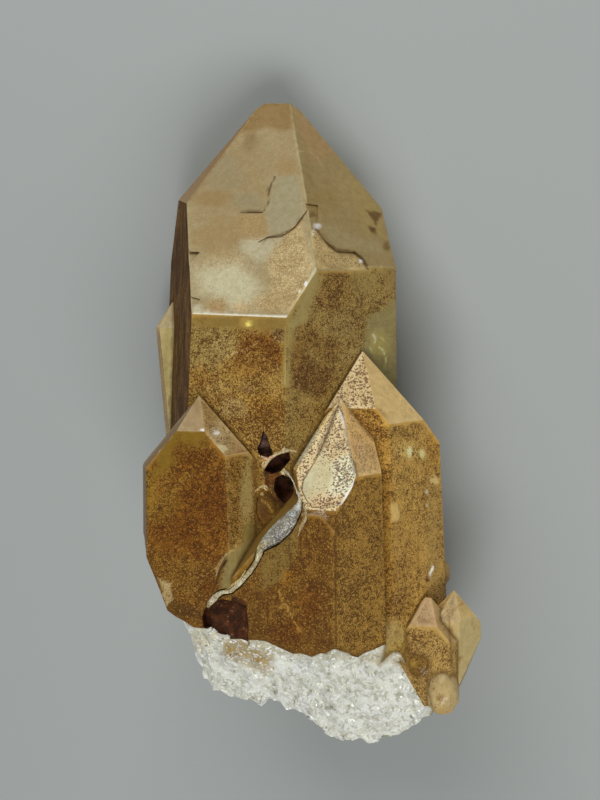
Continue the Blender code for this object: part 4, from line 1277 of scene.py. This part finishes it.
class Material:
    """A material under construction."""

    def __init__(self, name):
        self.material = bpy.data.materials.new(name)
        self.material.use_nodes = True
        self.tree = self.material.node_tree
        self.tree.nodes.clear()
        self.output = self.tree.nodes.new("ShaderNodeOutputMaterial")

    def node(self, kind, settings=None, result=0, **values):
        """Add a node: its settings first, then its sockets by name, with spaces written as underscores."""
        node = self.tree.nodes.new(kind)
        for name, setting in (settings or {}).items():
            setattr(node, name, setting)
        for name, value in values.items():
            self.feed(node.inputs[name.replace("_", " ")], value)
        return Socket(self.tree, node.outputs[result])

    def feed(self, socket, value):
        """Give a socket a value or another node's output."""
        if isinstance(value, Socket):
            self.tree.links.new(value.output, socket)
        else:
            socket.default_value = value

    def quality(self, name):
        """A number painted on the mesh."""
        return self.node("ShaderNodeAttribute", {"attribute_name": name}, "Fac")

    def painted_colour(self):
        return self.node("ShaderNodeAttribute", {"attribute_name": "colour"}, "Color")

    def place(self, scale=(1.0, 1.0, 1.0), offset=(0.0, 0.0, 0.0)):
        """Where on the object, in millimetres, stretched by the scale."""
        object_place = self.node("ShaderNodeTexCoord", result="Object")
        stretched = self.tree.nodes.new("ShaderNodeVectorMath")
        stretched.operation = "MULTIPLY_ADD"
        self.tree.links.new(object_place.output, stretched.inputs[0])
        stretched.inputs[1].default_value = [value / MM for value in scale]
        stretched.inputs[2].default_value = offset
        return Socket(self.tree, stretched.outputs[0])

    def cloud(self, size, detail=2.0, roughness=0.5, place=None, distortion=0.0, result=0):
        """Noise from 0 to 1 with features of about this size in millimetres."""
        return self.node(
            "ShaderNodeTexNoise", None, result, Vector=place or self.place(), Scale=1.0 / size,
            Detail=detail, Roughness=roughness, Distortion=distortion)

    def ramp(self, value, low, high):
        """0 below low, 1 above high, smooth between."""
        node = self.tree.nodes.new("ShaderNodeMapRange")
        node.interpolation_type = "SMOOTHSTEP"
        for socket, entry in (("Value", value), ("From Min", low), ("From Max", high)):
            self.feed(node.inputs[socket], entry)
        return Socket(self.tree, node.outputs["Result"])

    def blend(self, share, first, second, kind="MIX"):
        """Mix two colours."""
        node = self.tree.nodes.new("ShaderNodeMix")
        node.data_type = "RGBA"
        node.blend_type = kind
        for socket, entry in ((node.inputs[0], share), (node.inputs[6], first), (node.inputs[7], second)):
            if isinstance(entry, tuple) and len(entry) == 3:
                entry = (*entry, 1.0)
            self.feed(socket, entry)
        return Socket(self.tree, node.outputs[2])

    def bump(self, height, strength, distance):
        """Fine relief: distance is the depth in millimetres."""
        return self.node(
            "ShaderNodeBump", result="Normal", Height=height, Strength=strength, Distance=distance * MM)

    def cells(self, size, offset, wobble):
        """Uneven cells: how far from each one's middle, in cells, and a random number for each."""
        bend = self.cloud(size * 0.8, 2.0, 0.6, self.place(offset=offset), result="Color")
        moved = self.tree.nodes.new("ShaderNodeVectorMath")
        moved.operation = "MULTIPLY_ADD"
        self.tree.links.new(bend.output, moved.inputs[0])
        moved.inputs[1].default_value = (size * wobble,) * 3
        self.tree.links.new(self.place(offset=offset).output, moved.inputs[2])
        cells = self.tree.nodes.new("ShaderNodeTexVoronoi")
        self.tree.links.new(moved.outputs[0], cells.inputs["Vector"])
        cells.inputs["Scale"].default_value = 1.0 / size
        cell_colour = Socket(self.tree, cells.outputs["Color"])
        chance = self.node("ShaderNodeSeparateColor", None, 0, Color=cell_colour)
        return Socket(self.tree, cells.outputs["Distance"]), chance

    def dots(self, size, density, offset):
        """Uneven dots, more and larger where density is higher."""
        distance, chance = self.cells(size, offset, 0.9)
        return self.ramp(density * 0.80 - chance * 0.42 - distance, -0.05, 0.06)

    def network(self, size, density, offset):
        """Fine broken worm-like lines that close up where density is higher."""
        lines = self.cloud(size, 2.0, 0.55, self.place(offset=offset))
        elsewhere = self.place(offset=(offset[0], offset[1] + 40.0, offset[2]))
        breaks = self.cloud(size * 1.5, 1.0, 0.5, elsewhere)
        off_line = abs(lines - 0.5)
        width = density * 0.105 + (breaks - 0.5) * 0.24 * density - 0.008
        return self.ramp(width - off_line, -0.012, 0.018), off_line

    def clear_quartz(self, normal):
        """See-through quartz: plain transmission and its own index of refraction."""
        return self.node(
            "ShaderNodeBsdfPrincipled", Base_Color=CLEAR_COLOUR, Roughness=0.08, IOR=QUARTZ_IOR,
            Transmission_Weight=1.0, Normal=normal)

    def finish(self, clear, solid, share):
        """Clear quartz with the cloudy kind over it, and colour taken up inside."""
        mix = self.tree.nodes.new("ShaderNodeMixShader")
        self.feed(mix.inputs[0], share)
        self.tree.links.new(clear.output, mix.inputs[1])
        self.tree.links.new(solid.output, mix.inputs[2])
        self.tree.links.new(mix.outputs[0], self.output.inputs["Surface"])
        inner = self.tree.nodes.new("ShaderNodeVolumeAbsorption")
        inner.inputs["Color"].default_value = HONEY
        inner.inputs["Density"].default_value = HONEY_DENSITY
        self.tree.links.new(inner.outputs[0], self.output.inputs["Volume"])
        return self.material


def speckled_quartz():
    """Crystal faces: brown speckles under a clear skin on the sides, and satin tip faces."""
    m = Material("speckled_quartz")
    specks, satin, rust = m.quality("specks"), m.quality("satin"), m.quality("rust")
    milky, spots, stain = m.quality("cloud"), m.quality("spots"), m.quality("stain")
    edge, crease = m.quality("edge"), m.quality("crease")

    slow = m.cloud(8.0, 3.0, 0.6)
    patchy = m.cloud(2.6, 3.0, 0.6, m.place(offset=(31.0, 7.0, 5.0)))
    mottle = m.cloud(1.3, 4.0, 0.65, m.place(offset=(3.0, 17.0, 9.0)))
    grain = m.cloud(0.4, 2.0, 0.6, m.place(offset=(5.0, 3.0, 11.0)))

    clumps = m.ramp(slow * 0.4 + patchy * 0.6, 0.34, 0.66)
    thick = specks * (0.52 + 0.62 * clumps) * m.ramp(edge + (patchy - 0.5) * 1.6, 0.1, 1.0)
    worms, off_line = m.network(0.50, thick, (0.0, 0.0, 0.0))
    small_worms, _ = m.network(0.33, thick * 0.85, (11.0, 5.0, 2.0))
    speck_mask = worms.larger(small_worms * 0.8)
    rusty_places = slow * 0.35 + patchy * 0.4 + mottle * 0.25 + (rust - 0.5) * 0.25
    rust_mask = (rust * m.ramp(rusty_places, 0.40, 0.66)).clamped()
    spot_mask = m.dots(0.4, spots * 0.9 * (0.6 + 0.8 * patchy), (4.0, 8.0, 3.0))
    stain_mask = m.ramp(stain + (mottle - 0.5) * 0.5, 0.35, 0.6)

    colour = m.blend(m.ramp(mottle, 0.35, 0.7) * 0.42, m.painted_colour(), (0.66, 0.58, 0.42), "MULTIPLY")
    colour = m.blend(m.ramp(grain, 0.45, 0.7) * 0.34, colour, (1.25, 1.22, 1.15), "MULTIPLY")
    colour = m.blend(rust_mask * 0.6, colour, srgb(142, 90, 24))
    between_worms = m.ramp(off_line, 0.09, 0.22) * thick * (1.0 - rust_mask * 0.6)
    colour = m.blend(between_worms * 0.45, colour, srgb(204, 172, 104))
    dark_speck = m.blend(rust_mask, srgb(76, 46, 14), srgb(66, 34, 6))
    speck_colour = m.blend(satin, dark_speck, srgb(160, 132, 88))
    colour = m.blend(speck_mask * 0.92, colour, speck_colour)
    spot_colour = m.blend(m.ramp(mottle, 0.45, 0.6), srgb(88, 50, 22), srgb(130, 90, 48))
    colour = m.blend(spot_mask * 0.85, colour, spot_colour)
    colour = m.blend((1.0 - satin) * 0.8, colour, (1.0, 0.97, 0.84), "MULTIPLY")
    # Painted shade along concave edges and where the crystals meet the root.
    crease_shade = (1.0 - m.ramp(crease + (patchy - 0.5) * 1.4, 0.1, 0.9)) * 0.55
    colour = m.blend(crease_shade, colour, srgb(92, 62, 20))
    # Pale line along the tip faces' edges: partly edge wear, partly painted highlight.
    worn_edge_highlight = (1.0 - m.ramp(edge + (mottle - 0.5) * 0.8, 0.02, 0.25)) * 0.2
    colour = m.blend(worn_edge_highlight, colour, srgb(196, 180, 138))
    dark = m.blend(m.ramp(mottle, 0.40, 0.66), srgb(30, 12, 7), srgb(80, 40, 18))
    # Pale flecks in the dark stain: painted glints.
    dark = m.blend(m.ramp(grain * 0.6 + mottle * 0.4, 0.62, 0.66) * 0.5, dark, srgb(190, 160, 130))
    colour = m.blend(stain_mask, colour, m.blend(stain * 0.9, colour, dark))

    steps = m.cloud(1.0, 3.0, 0.7, m.place(scale=(0.12, 2.4, 0.12)))
    grainy = (grain - worms * 0.6) * (satin * 0.8 + stain_mask + 0.2)
    relief = grainy + steps * (1.0 - satin) * 0.3 + mottle * satin
    normal = m.bump(relief, 0.5, 0.08)
    coat = (0.22 - satin * 0.16 - stain_mask * 0.1).clamped()
    cloudy = m.node(
        "ShaderNodeBsdfPrincipled", Base_Color=colour, Roughness=0.55, IOR=QUARTZ_IOR,
        Specular_IOR_Level=0.12, Coat_Weight=coat, Coat_Roughness=0.08, Coat_IOR=QUARTZ_IOR, Normal=normal)
    share = (milky + speck_mask * 0.6 + rust_mask * 0.1 + worn_edge_highlight * 0.3 + stain_mask).clamped()
    return m.finish(m.clear_quartz(normal), cloudy, share)


def striped_quartz():
    """The main crystal's left side: dark brown, clouded and speckled, with faint growth lines across it."""
    m = Material("striped_quartz")
    lines = m.cloud(1.0, 5.0, 0.72, m.place(scale=(0.26, 0.13, 0.26)))
    growth = m.cloud(1.0, 3.0, 0.6, m.place(scale=(0.05, 1.1, 0.05)))
    patchy = m.cloud(4.0, 3.0, 0.6)
    colour = m.blend(m.ramp(lines, 0.36, 0.66), srgb(64, 40, 12), srgb(146, 106, 52))
    colour = m.blend(m.ramp(growth, 0.45, 0.62) * 0.25, colour, srgb(92, 62, 24))
    colour = m.blend(m.ramp(patchy, 0.4, 0.65) * 0.4, colour, srgb(112, 72, 24))
    speck_mask, _ = m.network(0.9, patchy, (2.0, 2.0, 2.0))
    colour = m.blend(speck_mask * 0.6, colour, srgb(50, 24, 6))
    normal = m.bump(growth, 0.5, 0.08)
    cloudy = m.node(
        "ShaderNodeBsdfPrincipled", Base_Color=colour, Roughness=0.75, IOR=QUARTZ_IOR,
        Specular_IOR_Level=0.05, Normal=normal)
    return m.finish(m.clear_quartz(normal), cloudy, (0.94 + 0.06 * patchy).clamped())


def snowy_quartz():
    """The broken root: white, sugary and a little see-through."""
    m = Material("snowy_quartz")
    crease, stain, sink = m.quality("crease"), m.quality("stain"), m.quality("sink")
    slow = m.cloud(4.5, 3.0, 0.6)
    streaks = m.cloud(1.4, 4.0, 0.65, m.place(scale=(1.3, 0.45, 0.6)))
    fine = m.cloud(0.45, 3.0, 0.7)
    _, shade = m.cells(2.3, (3.0, 3.0, 3.0), 0.8)
    _, sparkle = m.cells(0.42, (8.0, 3.0, 1.0), 0.5)
    colour = m.blend(m.ramp(slow, 0.42, 0.66) * 0.5, m.painted_colour(), srgb(206, 206, 186))
    colour = m.blend(m.ramp(shade, 0.55, 0.9) * 0.4, colour, srgb(172, 172, 150))
    colour = m.blend(m.ramp(streaks, 0.49, 0.62) * 0.6, colour, srgb(164, 158, 130))
    colour = m.blend(m.ramp(fine, 0.35, 0.44), m.blend(0.22, colour, srgb(150, 144, 118)), colour)
    # White sparkle dots: painted highlights; the same cells are also made glossier below.
    bright = m.ramp(sparkle, 0.78, 0.84) * m.ramp(slow, 0.36, 0.5)
    colour = m.blend(bright * 0.85, colour, (0.98, 0.99, 0.97))
    # Painted shade in the deeper parts of the break, and painted light where it is least sunk.
    colour = m.blend(m.ramp(sink, 0.85, 1.5) * 0.45, colour, srgb(158, 148, 112))
    colour = m.blend((1.0 - m.ramp(sink, 0.2, 0.6)) * 0.3, colour, (0.93, 0.94, 0.92))
    # Dark dots: painted shade of small pits, which have no depth of their own.
    pit_shade = m.dots(1.6, 0.24 + slow * 0.08, (9.0, 1.0, 4.0))
    colour = m.blend(pit_shade * 0.6, colour, srgb(110, 98, 70))
    tint = (1.0 - m.ramp(crease + (streaks - 0.5) * 4.0, 0.1, 2.0)) * 0.65
    colour = m.blend(tint, colour, srgb(172, 150, 92))
    # Painted shade where the root meets the crystals.
    join_shade = (1.0 - m.ramp(crease + (fine - 0.5) * 1.0, 0.05, 0.8)) * 0.7
    colour = m.blend(join_shade, colour, srgb(92, 74, 30))
    colour = m.blend(m.ramp(stain + (fine - 0.5) * 0.8, 0.3, 0.6) * 0.8, colour, srgb(56, 46, 34))
    normal = m.bump(fine + shade * 0.3, 0.36, 0.12)
    rough = 0.55 - m.ramp(sparkle, 0.8, 0.86) * 0.4
    cloudy = m.node(
        "ShaderNodeBsdfPrincipled", Base_Color=colour, Roughness=rough, IOR=QUARTZ_IOR, Coat_Weight=0.2,
        Coat_Roughness=0.15, Normal=normal)
    return m.finish(m.clear_quartz(normal), cloudy, (0.84 + 0.16 * slow).clamped())


def mica_flakes():
    """Grey mica with pale, flaky edges, and a yellowish crust on its tail."""
    m = Material("mica_flakes")
    layers = m.cloud(0.8, 4.0, 0.65, m.place(scale=(0.7, 0.7, 2.5)))
    fine = m.cloud(0.28, 3.0, 0.7)
    colour = m.blend(m.ramp(layers, 0.35, 0.65) * 0.7, m.painted_colour(), (0.42, 0.40, 0.37), "MULTIPLY")
    colour = m.blend(m.ramp(fine, 0.54, 0.62) * 0.7, colour, srgb(226, 222, 206))
    colour = m.blend(m.ramp(fine, 0.38, 0.45), m.blend(0.75, colour, srgb(66, 52, 38)), colour)
    normal = m.bump(layers + fine * 0.5, 0.8, 0.2)
    shader = m.node(
        "ShaderNodeBsdfPrincipled", Base_Color=colour, Roughness=0.4, Coat_Weight=0.4, Coat_Roughness=0.25,
        Normal=normal)
    m.tree.links.new(shader.output, m.output.inputs["Surface"])
    return m.material


def make_mica():
    """The mica seam, with flaky lips."""
    bm = bmesh.new()
    bm.from_mesh(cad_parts["mica_seam"].data)
    for vert in bm.verts:
        vert.co = vert.co / MM - TIP
    bmesh.ops.remove_doubles(bm, verts=bm.verts, dist=WELD)
    bmesh.ops.subdivide_edges(bm, edges=bm.edges, cuts=MICA_CUTS, use_grid_fill=True, smooth=0.6)
    bm.normal_update()
    for vert in bm.verts:
        flake = noise.noise(Vector([value / size for value, size in zip(vert.co, FLAKE_SIZE)]))
        fine = noise.noise(vert.co / MICA_GRAIN_SIZE)
        thin = min(max((vert.co.y - THIN_FROM) / THIN_OVER, 0.0), 1.0) * THIN_BY
        vert.co += vert.normal * (FLAKE_HEIGHT * flake + MICA_GRAIN_HEIGHT * fine - MICA_SHRINK - thin)
    mesh = bpy.data.meshes.new("mica")
    bm.to_mesh(mesh)
    bm.free()
    paint_mica(mesh)
    return add_piece("mica", mesh, "mica_seam", (mica_flakes(),))


def paint_mica(mesh):
    """Colour the seam along its length: grey lens, yellowish tail, cream strand, with painted light on the
    lens's upper-left rim and a painted shadow along its lower right.
    """
    points = np.array([vert.co for vert in mesh.vertices])
    places = photo_places(points)
    colours = np.tile(np.array(srgb(*MICA_GREY)), (len(points), 1))
    nervous = uneven(points, *NERVOUS)
    for share, colour, strength in MICA_PAINT:
        amount = strength * share(places, nervous, nervous)
        colours += (np.array(srgb(*colour)) * MICA_LIT - colours) * amount[:, None]
    layer = mesh.attributes.new("colour", "FLOAT_COLOR", "POINT")
    rows = np.column_stack([np.minimum(colours, BRIGHTEST), np.ones(len(points))])
    layer.data.foreach_set("color", rows.ravel())


def make_floor():
    """A plain pale floor."""
    bm = bmesh.new()
    bmesh.ops.create_grid(bm, x_segments=1, y_segments=1, size=FLOOR_HALF)
    mesh = bpy.data.meshes.new("floor")
    bm.to_mesh(mesh)
    bm.free()
    floor = bpy.data.objects.new("floor", mesh)
    floor.location.z = -FLOOR_DROP
    bpy.context.scene.collection.objects.link(floor)
    m = Material("floor_grey")
    shader = m.node("ShaderNodeBsdfPrincipled", Base_Color=(*srgb(*FLOOR_COLOUR), 1.0), Roughness=0.9)
    m.tree.links.new(shader.output, m.output.inputs["Surface"])
    mesh.materials.append(m.material)


def add_light(name, direction, distance, size, power):
    """A large soft light that faces the object."""
    data = bpy.data.lights.new(name, "AREA")
    data.shape = "RECTANGLE"
    data.size, data.size_y = size
    data.energy = power
    light = bpy.data.objects.new(name, data)
    away = Vector(direction).normalized()
    light.location = LIGHT_TARGET + away * distance
    light.rotation_mode = "QUATERNION"
    light.rotation_quaternion = away.to_track_quat("Z", "Y")
    bpy.context.scene.collection.objects.link(light)


def make_lights():
    """The two soft lights and the even light from all round."""
    for name, (direction, distance, size, power) in LIGHTS.items():
        add_light(name, direction, distance, size, power)
    world = bpy.data.worlds.new("studio")
    bpy.context.scene.world = world
    world.use_nodes = True
    backdrop = world.node_tree.nodes["Background"]
    backdrop.inputs["Color"].default_value = SKY_COLOUR
    backdrop.inputs["Strength"].default_value = SKY_STRENGTH


def make_camera():
    """The camera, where the photograph's camera was."""
    data = bpy.data.cameras.new("camera")
    camera = bpy.data.objects.new("camera", data)
    bpy.context.scene.collection.objects.link(camera)
    data.lens = CAMERA_LENS
    data.sensor_width = SENSOR
    data.clip_start = 0.01
    columns = (CAMERA_RIGHT, CAMERA_UP, CAMERA_BACK, (CAMERA_PLACE + TIP) * MM)
    rows = [[column[axis] for column in columns] for axis in range(3)]
    camera.matrix_world = Matrix(rows + [[0.0, 0.0, 0.0, 1.0]])
    bpy.context.scene.camera = camera


make_camera()
make_lights()
make_floor()
make_crystals()
make_mica()
bpy.context.scene.view_settings.view_transform = "Standard"
